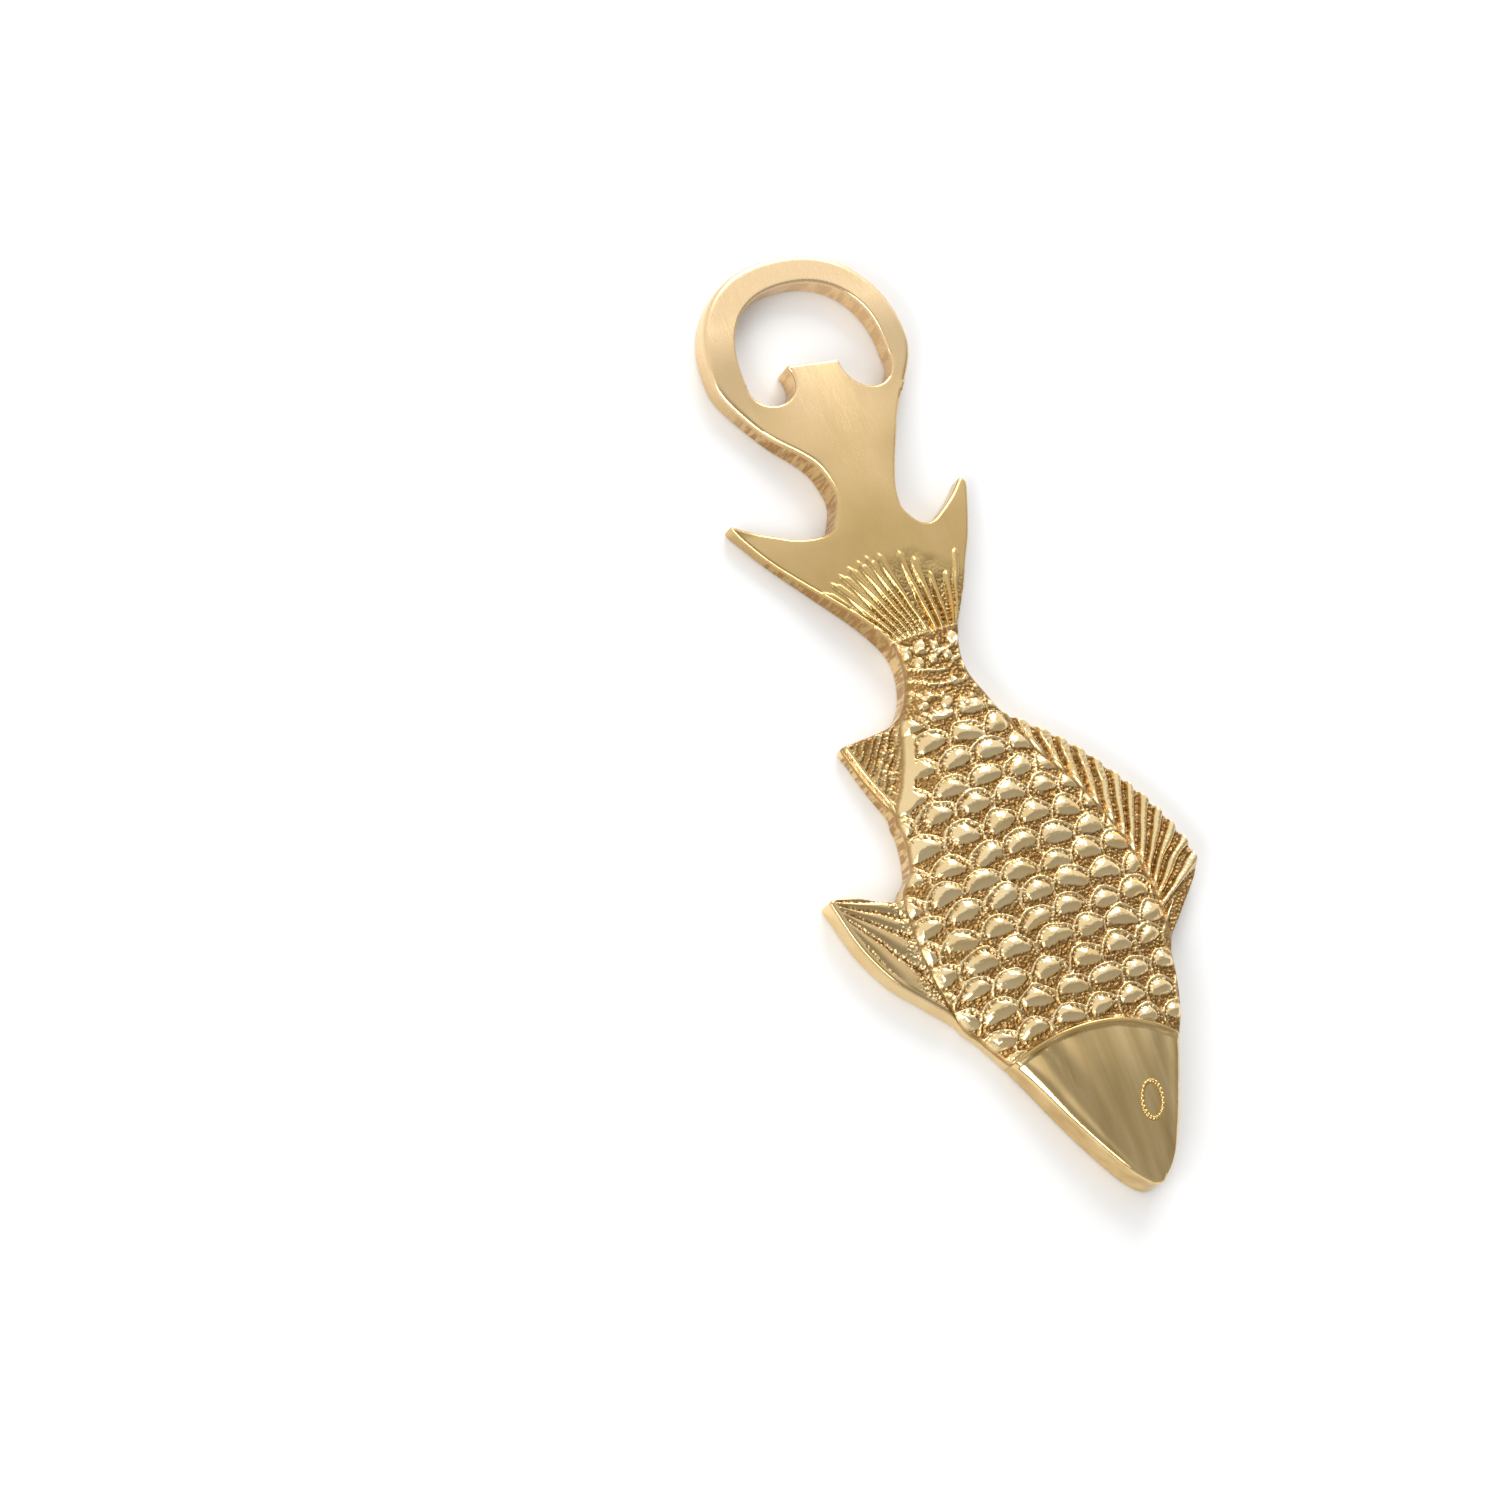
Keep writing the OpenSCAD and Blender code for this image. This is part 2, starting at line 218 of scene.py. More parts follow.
class Plan:
    """The outline of the casting and the seams between its regions, as points in the plane."""

    def __init__(self):
        coords, left = region_edges()
        outer = [e for e in left if (e[1], e[0]) not in left]
        pairs = {}
        for (a, b), label in left.items():
            other = left.get((b, a), OUTSIDE)
            if label < other:
                pairs.setdefault((label, other), []).append((a, b))
        seams = [(pair, chain) for pair in pairs for chain in chains_of(pairs[pair])]
        ends = {v for _, chain in seams for v in (chain[0], chain[-1])}
        self.points, self.loops, self.edge_label = [], [], []
        at = {}
        for loop in chains_of(outer):
            loop = self.thinned(loop[:-1], ends, coords)
            start = len(self.points)
            kept = [k for k, v in enumerate(loop) if v in ends]
            made, place, corners = resample(coords[loop], kept, OUTLINE_STEP, True)
            made = softened(made, corners)
            for k in kept:
                at[loop[k]] = start + place[k]
            self.points += list(made)
            self.edge_label += self.labels_along(loop, kept, place, left, len(made))
            self.loops.append((start, len(self.points)))
        self.outline_count = len(self.points)
        self.inward = self.inward_normals()
        self.seams = [self.seam(pair, chain, coords, at) for pair, chain in seams]
        self.points = np.array(self.points)

    @staticmethod
    def thinned(loop, ends, coords):
        """The loop without the points that crowd the one before, except a seam's ends."""
        steps = np.linalg.norm(coords[loop] - coords[np.roll(loop, 1)], axis=1)
        return [v for v, step in zip(loop, steps) if v in ends or step > SHORTEST_EDGE]

    @staticmethod
    def labels_along(loop, kept, place, left, count):
        """The region beside each new outline edge: it changes only at the kept points."""
        outgoing = {a: label for (a, b), label in left.items() if (b, a) not in left}
        starts = {place[k]: outgoing[loop[k]] for k in kept}
        labels, current = [], starts[max(starts)]
        for i in range(count):
            current = starts.get(i, current)
            labels.append(current)
        return labels

    def inward_normals(self):
        """Unit normals of the outline, pointing into the metal, which is on its left."""
        points = np.array(self.points)
        normals = np.empty_like(points)
        for start, end in self.loops:
            loop = points[start:end]
            along = np.roll(loop, -1, axis=0) - np.roll(loop, 1, axis=0)
            along /= np.linalg.norm(along, axis=1)[:, None]
            normals[start:end] = np.stack([-along[:, 1], along[:, 0]], axis=1)
        return normals

    def seam(self, pair, chain, coords, at):
        """A seam between two regions as point numbers, from one outline point to another."""
        line = coords[chain].copy()
        first, last = at[chain[0]], at[chain[-1]]
        line[0], line[-1] = self.points[first], self.points[last]
        made, _, _ = resample(line, [], SEAM_STEP, False)
        reach = np.concatenate([[0], np.cumsum(np.linalg.norm(np.diff(made, axis=0), axis=1))])
        total = reach[-1]
        margin = edge_radius(made[[0, -1]])
        stations = set()
        for turn in ROUNDING_TURNS:
            shift = margin * turned(turn)
            stations |= {shift[0], total - shift[1]}
        even = np.linspace(0, total, max(2, round(total / OUTLINE_STEP)))
        stations |= {s for s in even if margin[0] * 1.1 < s < total - margin[1] * 1.1}
        inside = [s for s in sorted(stations) if SEAM_STEP < s < total - SEAM_STEP]
        numbers = [first]
        for s in inside:
            numbers.append(len(self.points))
            self.points.append(np.array([np.interp(s, reach, line) for line in made.T]))
        return pair, numbers + [last]

    def outline_edges(self):
        """Every edge of the outline as two point numbers, with the metal on its left."""
        for start, end in self.loops:
            for i in range(start, end):
                yield i, i + 1 if i + 1 < end else start

    def region_loop(self, label):
        """Point numbers round a region, with the region on the left."""
        edges = [edge for edge in self.outline_edges() if self.edge_label[edge[0]] == label]
        for (one, other), numbers in self.seams:
            if label == one:
                edges += list(zip(numbers, numbers[1:]))
            if label == other:
                edges += list(zip(numbers[1:], numbers))
        return max(chains_of(edges), key=len)[:-1]


# ---------------------------------------------------------------- shaping helpers


def ramp(value, low, high):
    """0 below low, 1 above high, smooth between."""
    t = np.clip((value - low) / (high - low), 0, 1)
    return t * t * (3 - 2 * t)


def curve(x, knots):
    """A smooth curve through (place, height) knots."""
    px, py = np.array(knots, float).T
    slope = np.gradient(py, px)
    x = np.clip(x, px[0], px[-1])
    i = np.clip(np.searchsorted(px, x, side="right") - 1, 0, len(px) - 2)
    run = px[i + 1] - px[i]
    return hermite((x - px[i]) / run, run, py[i], slope[i], py[i + 1], slope[i + 1])


def lattice_value(i, j, seed):
    """A repeatable random number from 0 to 1 for each cell of a grid."""
    mixed = (i * 73856093) ^ (j * 19349663) ^ (seed * 83492791)
    mixed = (mixed ^ (mixed >> 13)) * 1274126177
    return ((mixed ^ (mixed >> 16)) & 0xFFFFFF) / 0x1000000


def hills(x, y, size, seed):
    """Smooth noise from -1 to 1, with hills about as wide as size."""
    u, v = x / size, y / size
    i, j = np.floor(u).astype(np.int64), np.floor(v).astype(np.int64)
    s, t = ramp(u - i, 0, 1), ramp(v - j, 0, 1)
    low = lattice_value(i, j, seed) * (1 - s) + lattice_value(i + 1, j, seed) * s
    high = lattice_value(i, j + 1, seed) * (1 - s) + lattice_value(i + 1, j + 1, seed) * s
    return 2 * (low * (1 - t) + high * t) - 1


def grains(x, y, size, seed):
    """Round cast-sand grains of that size: 1 on top of a grain, 0 between grains."""
    u, v = x / size, y / size
    i, j = np.floor(u).astype(np.int64), np.floor(v).astype(np.int64)
    best = np.zeros_like(u)
    for di in (-1, 0, 1):
        for dj in (-1, 0, 1):
            ci, cj = i + di, j + dj
            cx = ci + 0.15 + 0.7 * lattice_value(ci, cj, seed)
            cy = cj + 0.15 + 0.7 * lattice_value(ci, cj, seed + 1)
            tall = 0.45 + 0.55 * lattice_value(ci, cj, seed + 2)
            near = 1 - ((u - cx) ** 2 + (v - cy) ** 2) / 0.42
            best = np.maximum(best, tall * np.clip(near, 0, 1))
    return best


def ridge(offset, half_width):
    """A rounded ridge: 1 along its middle, 0 from half_width outwards."""
    q = np.clip(np.abs(offset) / half_width, 0, 1)
    return np.sqrt(1 - q * q)


# ---------------------------------------------------------------- the height of the casting

STALK_X = -12.0  # where the tail fin ends and the stalk starts
BODY_X = -1.6  # where the stalk ends and the body starts
AXIS_Y = 2.7  # the line from the mouth to the nose that the plate is thickest along

# Thickness along x of the plain plate, of the fish's crown and of its two edges
PLATE = [(-71, 3.6), (-62, 3.7), (-56, 4.05), (-50, 4.5), (-44, 4.85), (-34, 5.15), (-26, 5.1),
         (-12, 5.0)]
CROWN = [(-14, 4.95), (-8, 5.0), (0, 5.5), (8, 6.1), (16, 6.4), (28, 6.56), (40, 6.5),
         (47, 6.45), (54, 6.35), (60, 6.0), (66, 5.5), (71, 5.0)]
BELLY_EDGE = [(-14, 4.3), (-9, 4.0), (-4, 3.7), (2, 3.4), (10, 3.3), (16, 3.6), (22, 3.6),
              (30, 3.4), (38, 2.8), (43, 2.0), (47, 2.1), (50, 2.9), (56, 3.6), (62, 4.2),
              (66, 4.5), (71, 4.8)]
BACK_EDGE = [(-14, 4.5), (-9, 4.3), (-3, 4.0), (4, 3.7), (16, 3.6), (34, 3.7),
             (45, 4.2), (50, 4.6), (60, 4.8), (66, 4.7), (71, 4.6)]
FIN_WEB = 2.95  # thickness of the fins between their rays
BAND_SAMPLES = 500  # places along x where the belly and back lines are measured


def plate_height(x, y):
    """The plain plate of ring, neck and tail: it thins to the ring, to the neck's edge and to
    the two tips of the tail."""
    off_axis = np.abs(y - AXIS_Y)
    neck = 1.5 * np.minimum(off_axis / 11, 1) ** 2 * ramp(x, -62, -46) * (1 - ramp(x, -40, -28))
    tail = 2.8 * ramp(off_axis, 2, 18) * ramp(x, -42, -32)
    return curve(x, PLATE) - neck - tail * (1 - neck / 3)


class Band:
    """The fish's own band from stalk to nose, between the belly and the back."""

    def __init__(self, plan):
        rims = []
        for name in FISH_BAND:
            loop = plan.points[plan.region_loop(PLAN_NODES.index(name))]
            rims.append(np.stack([loop, np.roll(loop, -1, axis=0)], axis=1))
        edges = np.concatenate(rims)
        self.x = np.linspace(STALK_X + 0.05, edges[:, :, 0].max() - 0.05, BAND_SAMPLES)
        a, b = edges[:, 0], edges[:, 1]
        run = np.where(np.abs(b[:, 0] - a[:, 0]) < TINY, TINY, b[:, 0] - a[:, 0])
        t = (self.x[:, None] - a[:, 0]) / run
        y = a[:, 1] + t * (b[:, 1] - a[:, 1])
        crossed = (t >= -TINY) & (t <= 1 + TINY)
        self.belly = self.smoothed(np.where(crossed, y, np.inf).min(axis=1))
        self.back = self.smoothed(np.where(crossed, y, -np.inf).max(axis=1))
        label = PLAN_NODES.index("body"), PLAN_NODES.index("gill_rim")
        line = next(plan.points[n] for pair, n in plan.seams if pair == label)
        order = np.argsort(line[:, 1])
        self.gill_y, self.gill_x = line[order, 1], line[order, 0]

    @staticmethod
    def smoothed(values, width=5):
        padded = np.pad(values, width, mode="edge")
        return np.convolve(padded, np.ones(2 * width + 1) / (2 * width + 1), "valid")

    def share(self, x, y):
        """0 on the belly edge, 1 on the back edge."""
        belly, back = np.interp(x, self.x, self.belly), np.interp(x, self.x, self.back)
        return (y - belly) / np.maximum(back - belly, 0.5)

    def depth(self, x, y):
        """Distance inside the nearer of the belly and back lines, negative on the fins."""
        sides = []
        for line, sign in ((self.belly, 1), (self.back, -1)):
            slope = np.interp(x, self.x, np.gradient(line, self.x))
            sides.append(sign * (y - np.interp(x, self.x, line)) / np.sqrt(1 + slope**2))
        return np.minimum(*sides)

    def past_gill(self, x, y):
        """Distance past the gill line towards the nose."""
        slope = np.interp(y, self.gill_y, np.gradient(self.gill_x, self.gill_y))
        return (x - np.interp(y, self.gill_y, self.gill_x)) / np.sqrt(1 + slope**2)


SCALE_ROWS = range(-2, 14)
SCALE_COLUMNS = range(-5, 6)
FIRST_SCALE = (4.65, 1.3)  # the middle of the scale that the others are counted from
ROW_STEP = 3.5  # from one row of scales to the next, along the fish
ROW_DRIFT = 2.6  # each row is shifted this far towards the back from the row before
COLUMN_STEP = 5.7  # between neighbours in a row
SCALE_WANDER = 0.3  # the rows bend this far from side to side
SCALE_SHIFT = 0.32  # each scale may be this far from its place
SCALE_TALL = 0.68  # mean height of a scale's dome
SCALE_SEED = 41


def scale_dome(ahead, side, radius, jitter):
    """The smooth dome on a scale, from 0 to 1: wide, short and bent round towards the tail."""
    crest = radius * (0.44 + 0.05 * jitter[5]) - ahead - 0.35 * side**2 / radius
    crest = (crest + 0.2 * jitter[4] * side) / (radius * 0.38)
    q = np.hypot(crest, side / (radius * (0.66 + 0.07 * jitter[6])))
    return (1 - np.clip(q, 0, 1) ** 2) ** 0.8


def scale_relief(x, y):
    """Overlapping cast scales. Each is a disc with its free edge to the tail: a thin raised arc,
    a granular band inside it, then a smooth dome. Returns the height and how smooth it is."""
    draw = np.random.default_rng(SCALE_SEED)
    grain = grains(x, y, 0.44, 3)
    height = 0.3 * grain - 0.2
    smooth = np.zeros_like(x)
    wx = x + SCALE_WANDER * hills(x, y, 2.2, 11)
    wy = y + SCALE_WANDER * hills(x, y, 2.2, 12)
    for row in SCALE_ROWS:
        row_x = FIRST_SCALE[0] + ROW_STEP * row
        row_y = FIRST_SCALE[1] + ROW_DRIFT * row + draw.uniform(-0.6, 0.6)
        pitch = COLUMN_STEP * (1 - 0.14 * ramp(row, 9, 13) - 0.2 * (1 - ramp(row, -3, 1)))
        for column in SCALE_COLUMNS:
            jitter = draw.uniform(-1, 1, 8)
            cx = row_x + SCALE_SHIFT * jitter[0]
            phase = row_y / COLUMN_STEP
            cy = (phase + column - round(phase)) * pitch + SCALE_SHIFT * jitter[1]
            radius = pitch * (0.6 + 0.03 * jitter[2])
            ahead, side = cx - wx, (wy - cy) * (1 + 0.05 * jitter[3])
            reach = np.hypot(ahead * 1.02, side)
            inside = reach < radius
            e = (radius - reach)[inside]
            ahead, side = ahead[inside], side[inside]
            dome = scale_dome(ahead, side, radius, jitter)
            arc = np.exp(-(((e - 0.22) / 0.17) ** 2))
            band = (1 - ramp(dome, 0.0, 0.35)) * ramp(e, 0.3, 0.5)
            tall = SCALE_TALL + 0.13 * jitter[7]
            height[inside] = (
                0.20 * (ahead / radius)
                + arc * (0.08 + 0.14 * grain[inside])
                + tall * dome
                + 0.34 * (grain[inside] - 0.6) * band
                + 0.05 * (grain[inside] - 0.5)
            )
            smooth[inside] = np.clip(ramp(dome, 0.1, 0.4) + 0.25 * arc, 0, 1)
    return height, smooth


def stalk_relief(x, y):
    """Coarse grains and broken wavy ridges across the narrow stalk."""
    grain = grains(x, y, 0.46, 71)
    lumps = grains(x + 0.4 * hills(x, y, 1.5, 73), y, 2.3, 72)
    wave = x + 0.16 * (y - AXIS_Y) ** 2 / 2 + 0.7 * hills(x, y, 2.4, 74)
    broken = ramp(hills(x, y, 1.6, 75), -0.5, 0.2)
    line = ridge(wave % 2.5 - 1.25, 0.3) * broken
    top = ramp(lumps, 0.55, 0.8)
    return 0.3 * (grain - 0.6) * (1 - top) + 0.34 * line + 0.5 * top, np.maximum(top, 0.5 * line)


# Each ray of the tail: the outer end, the root and the half width at the outer end
TAIL_RAYS = [
    ((-24.4, -0.2), (-10.9, 2.8), 0.55), ((-24.0, 3.0), (-11.0, 3.9), 0.6),
    ((-22.6, 4.9), (-10.9, 4.9), 0.62), ((-20.0, 6.6), (-11.6, 6.0), 0.5),
    ((-19.6, 9.2), (-12.0, 6.9), 0.55), ((-22.6, 12.3), (-12.4, 7.5), 0.5),
]
FINE_TAIL_RAYS = 13
TAIL_MIDDLE = (-8.0, 2.6)  # of the rayed field's round rim
TAIL_REACH = 15.4  # the radius of that rim
TAIL_RAY_RISE = 0.16  # height of the rays above the plate
TAIL_DEPTH = 0.6  # of the grooves below the plate


def tail_relief(x, y):
    """Raised rays with grooves between them, sunk into the flat of the tail. Returns the depth
    below the plate and how smooth the surface is."""
    lines = [(tip, root, width, 1.0) for tip, root, width in TAIL_RAYS]
    for k in range(FINE_TAIL_RAYS):
        s = (k + 0.7) / FINE_TAIL_RAYS
        tip = (-23.8 + 3.6 * s * s - 0.9 * (k % 2), -0.9 - 9.4 * s)
        root = (-11.0, 2.6 - 5.4 * s)
        lines.append((tip, root, 0.32, 0.7 + 0.25 * (k % 2)))
    raised = np.zeros_like(x)
    wave = 0.12 * hills(x, y, 2.0, 21)
    for tip, root, width, strength in lines:
        tip, root = np.array(tip), np.array(root)
        run = root - tip
        length = np.linalg.norm(run)
        run /= length
        along = (x - tip[0]) * run[0] + (y - tip[1]) * run[1]
        across = (y - tip[1]) * run[0] - (x - tip[0]) * run[1] + wave
        half = width * (1 - 0.4 * np.clip(along / length, 0, 1)) * ramp(along, -0.3, 0.8)
        near = ridge(across, np.maximum(half, 0.02)) * ramp(along, -0.3, 0.5)
        raised = np.maximum(raised, strength * near)
    from_middle = np.hypot(x - TAIL_MIDDLE[0], y - TAIL_MIDDLE[1])
    rim = TAIL_REACH + 0.8 * hills(x, y, 1.8, 22)
    field = 1 - ramp(from_middle, rim - 8.0, rim + 0.8)
    grain = grains(x, y, 0.4, 23)
    sunk = field * (1 - raised) * (TAIL_DEPTH - 0.26 * (grain - 0.5))
    return TAIL_RAY_RISE * raised - sunk, np.maximum(raised, 1 - ramp(field, 0.1, 0.6))


DORSAL_APEX = (38.2, 14.5)  # the point that the back fin's rays spread from
DORSAL_RAY_STEP = 2.45  # between the back fin's rays, along its outer edge
DORSAL_FIRST_TURN = 122.0  # degrees, the direction of the fin's front
DORSAL_RAY_RISE = 0.85


def dorsal_relief(x, y, rim):
    """Strong slanting rays, and a curved ridge behind the fin's front edge."""
    turn = np.degrees(np.arctan2(y - DORSAL_APEX[1], x - DORSAL_APEX[0])) % 360
    past_front = np.clip(turn - DORSAL_FIRST_TURN, -4, 90)
    edge_run = math.radians(1) * (14 * past_front + 0.17 * past_front**2)
    count = edge_run / DORSAL_RAY_STEP + 0.12 * hills(x, y, 2.2, 31)
    offset = np.abs(count - np.round(count))
    ray = ridge(offset, 0.33) * ramp(turn, 118, 121)
    front = ridge(rim - 1.9, 0.3) * (1 - ramp(turn, 112, 118))
    ray = np.maximum(ray, front)
    grain = grains(x, y, 0.42, 32)
    height = DORSAL_RAY_RISE * ray + 0.24 * (grain - 0.5) * (1 - 0.8 * ray)
    return height, ray


PELVIC_APEX = (19.6, -28.4)  # the point that the big belly fin's bands spread from
PELVIC_BAND_STEP = 10.5  # degrees between its bands
PELVIC_BAND_RISE = 0.55
PELVIC_RIM_RISE = 0.5
# The front edge of each belly fin is a curve through these points, from its tip to the body
PELVIC_FRONT = [(19.0, -26.9), (22.1, -26.4), (26.7, -25.3), (30.4, -23.8), (33.9, -21.7),
                (37.2, -18.7), (41.3, -15.0)]


def pelvic_relief(x, y, rim):
    """A bright rim along the front edge only, and broad curved bands with beaded grooves."""
    front = y - curve(x, PELVIC_FRONT)
    bend = 0.012 * (x - PELVIC_APEX[0]) ** 2
    turn = np.degrees(np.arctan2(y + bend - PELVIC_APEX[1], x - PELVIC_APEX[0]))
    count = (turn - 22) / PELVIC_BAND_STEP + 0.08 * hills(x, y, 3.0, 33)
    offset = np.abs(count - np.floor(count) - 0.5)
    groove = ramp(offset, 0.28, 0.42)
    grain = grains(x, y, 0.4, 34)
    edge = (1 - ramp(front, 0.75, 1.05)) * (1 - ramp(rim, 1.5, 1.9))
    field = PELVIC_BAND_RISE * ridge(offset, 0.48) + 0.36 * groove * (grain - 0.5)
    field = field + 0.3 * (grain - 0.5) * ramp(y, -19.5, -17.5)
    height = edge * PELVIC_RIM_RISE + (1 - edge) * field
    return height, np.clip(edge + (1 - groove) * 0.9, 0, 1)


ANAL_FRONT = [(-1.5, -15.7), (2.7, -14.9), (5.8, -14.1), (8.8, -13.1), (12.4, -12.0)]
ANAL_LINE_STEP = 1.25  # between the small belly fin's diagonal lines
ANAL_RIDGE_RISE = 0.4


def anal_relief(x, y, rim):
    """A granular field with diagonal lines and one bright ridge along the front edge. It takes
    rim only because the other fins do."""
    front = y - curve(x, ANAL_FRONT)
    grain = grains(x, y, 0.42, 35)
    ridge_line = ridge(front - 0.75, 0.36)
    lines = (0.75 * x + y + 0.3 * hills(x, y, 1.8, 37)) % ANAL_LINE_STEP
    lines = ridge(lines - 0.62, 0.3)
    field = 0.22 * (grain - 0.5) + 0.16 * lines + 0.12 * hills(x, y, 1.4, 36)
    field = field * ramp(front, 1.0, 1.4)
    return field + ANAL_RIDGE_RISE * ridge_line, np.maximum(ridge_line, 0.5 * lines)


def strip_relief(x, y):
    """The smooth raised strip along the belly, beside the small fin."""
    middle = curve(x, [(0.6, -6.0), (4.5, -7.4), (8.0, -9.0), (12.0, -11.3)])
    ends = ramp(x, 0.6, 2.0) * (1 - ramp(x, 11.0, 12.8))
    return ridge(y - middle, 0.95) * ends


BACK_FIN_Y = 4  # the back fin is on the far side of this, the belly fins on the near side
BELLY_FINS_X = 17  # the small belly fin is behind this, the big one in front of it
TIP_DROP = 1.1  # the small belly fin thins by this much towards its tip
STRIP_RISE = 0.45  # height of the strip along the belly
GILL_RISE = 0.45  # height of the gill rim
FACETS = 5  # across the head


def head_facets(x, v):
    """Long soft facets left on the head by polishing along it."""
    wander = v + 0.010 * hills(x, v * 40, 14, 51)
    return v + 0.95 * np.sin(2 * math.pi * FACETS * wander) / (2 * math.pi * FACETS)


def plain_height(band, x, y, on_head):
    """The smooth form under the relief: the plate, and the fish with its crowned back."""
    in_fish = ramp(x, STALK_X - 3, STALK_X + 3)
    v = np.clip(band.share(x, y), 0, 1)
    v = v + on_head * (head_facets(x, v) - v)
    edge = np.where(v < 0.5, curve(x, BELLY_EDGE), curve(x, BACK_EDGE))
    swell = 1 - np.abs(2 * np.clip(v, 0, 1) - 1) ** 2.3
    fish = edge + (curve(x, CROWN) - edge) * swell
    plate = plate_height(x, y)
    return plate + in_fish * (fish - plate)


def body_relief(x, y, depth, past):
    """The stalk's grains, the body's scales and the belly's strip, and how smooth they are."""
    scales, scale_smooth = scale_relief(x, y)
    stalk, stalk_smooth = stalk_relief(x, y)
    on_stalk = 1 - ramp(x + 0.8 * hills(x, y, 2.0, 13), -1.5, 1.0)
    scales = scales + on_stalk * (stalk - scales)
    scale_smooth = scale_smooth + on_stalk * (stalk_smooth - scale_smooth)
    on_body = ramp(x, -12.5, -9.5) * (1 - ramp(past, -0.5, 0.05))
    strip = strip_relief(x, y)
    relief = on_body * ramp(depth, -0.1, 0.9) * (scales * (1 - strip) + STRIP_RISE * strip)
    return relief, on_body * np.maximum(scale_smooth * ramp(depth, 0, 0.9), strip)


def surface(band, x, y, rim):
    """Height of the casting's front, how smooth it is, and how strongly its colour is darkened in
    the recesses, partly as patina and partly as painted shade.
    rim is the distance to the outline."""
    depth, past = band.depth(x, y), band.past_gill(x, y)
    on_head = ramp(past, 0.6, 1.2)
    base = plain_height(band, x, y, on_head)
    relief, smooth = body_relief(x, y, depth, past)

    # the tail fin
    tail, tail_smooth = tail_relief(x, y)
    on_tail = 1 - ramp(x, -13.0, -10.5)
    relief = relief + on_tail * tail
    smooth = smooth + on_tail * tail_smooth

    # the fins of the body
    off_body = ramp(-depth, -0.05, 0.7) * ramp(x, -2.5, -1.0)
    on_fin = off_body * (past < 1)
    tip_drop = TIP_DROP * ramp(-y, 11.0, 15.6) * (x < BELLY_FINS_X)
    web = FIN_WEB + (base - FIN_WEB) * (1 - ramp(-depth, 0, 1.2)) - tip_drop
    base = np.where((depth < 0) & (x > BODY_X - 2), web, base)
    for here, fin_relief in (
        (y > BACK_FIN_Y, dorsal_relief),
        ((y < BACK_FIN_Y) & (x < BELLY_FINS_X), anal_relief),
        ((y < BACK_FIN_Y) & (x >= BELLY_FINS_X), pelvic_relief),
    ):
        fin, fin_smooth = fin_relief(x, y, rim)
        weight = np.where(here & (past < 1), off_body, 0)
        relief = relief + weight * fin
        smooth = smooth + weight * (fin_smooth - smooth)

    # the gill rim, standing over the body on one side and the head on the other
    rim_ridge = ramp(past, -0.15, 0.2) * (1 - ramp(past, 0.75, 1.15))
    relief = relief + GILL_RISE * rim_ridge * ramp(rim, 0.1, 0.6)
    smooth = np.maximum(smooth, np.maximum(rim_ridge, on_head))
    plain = 1 - ramp(x, -30, -26)
    smooth = np.maximum(smooth, plain)
    # Darkening of the colour in the low relief, the tail's grooves and the fins' low parts: partly
    # patina, partly painted shade.
    patina_and_shade = (1 - ramp(relief, -0.15, 0.32)) * (1 - on_head) * (1 - plain)
    patina_and_shade = patina_and_shade * np.where(on_tail > 0.5, 0.45 * ramp(-relief, 0.1, 0.6), 1)
    patina_and_shade = np.maximum(patina_and_shade, 0.45 * on_fin * (1 - ramp(relief, 0.5, 0.8)))
    return base + relief, np.clip(smooth, 0, 1), patina_and_shade


MOUTH_END = -47  # the mouth's two lobes end before this
RING_LEAST = 1.5  # the ring is wider than this all round the mouth


def in_mouth(x, y):
    """Whether an outline point is on the mouth and not on the ring's outer edge."""
    low, high = node_box("ring")
    reach = (high[1] - low[1]) / 2
    from_centre = np.hypot(x - low[0] - reach, y - (low[1] + high[1]) / 2)
    return (from_centre < reach - RING_LEAST) & (x < MOUTH_END)


def edge_radius(points):
    """Radius of the rounding along the front edge at each outline point."""
    x, y = points[:, 0], points[:, 1]
    radius = curve(x, [(-71, 0.8), (-50, 0.7), (-34, 0.5), (-26, 0.45), (-12, 0.45), (0, 0.4),
                       (46, 0.35), (60, 0.35), (71, 0.5)])
    back = (y > 5) & (x > 50)
    radius = np.where(back, 0.35 + 0.75 * ramp(x, 50, 53) * (1 - ramp(x, 64, 69)), radius)
    return np.where(in_mouth(x, y), 0.4, radius)


# ---------------------------------------------------------------- meshing the casting


def hexagonal(low, high, step):
    """Points of a triangular lattice over a rectangle."""
    rows = np.arange(low[1], high[1], step * math.sqrt(3) / 2)
    columns = np.arange(low[0], high[0], step)
    x, y = np.meshgrid(columns, rows)
    x = x + np.where(np.arange(len(rows)) % 2 == 0, 0, step / 2)[:, None]
    return np.stack([x.ravel(), y.ravel()], axis=1)


def tree_of(points):
    """A tree that finds the nearest of some points in the plane."""
    tree = kdtree.KDTree(len(points))
    for k, p in enumerate(points):
        tree.insert((p[0], p[1], 0), k)
    tree.balance()
    return tree


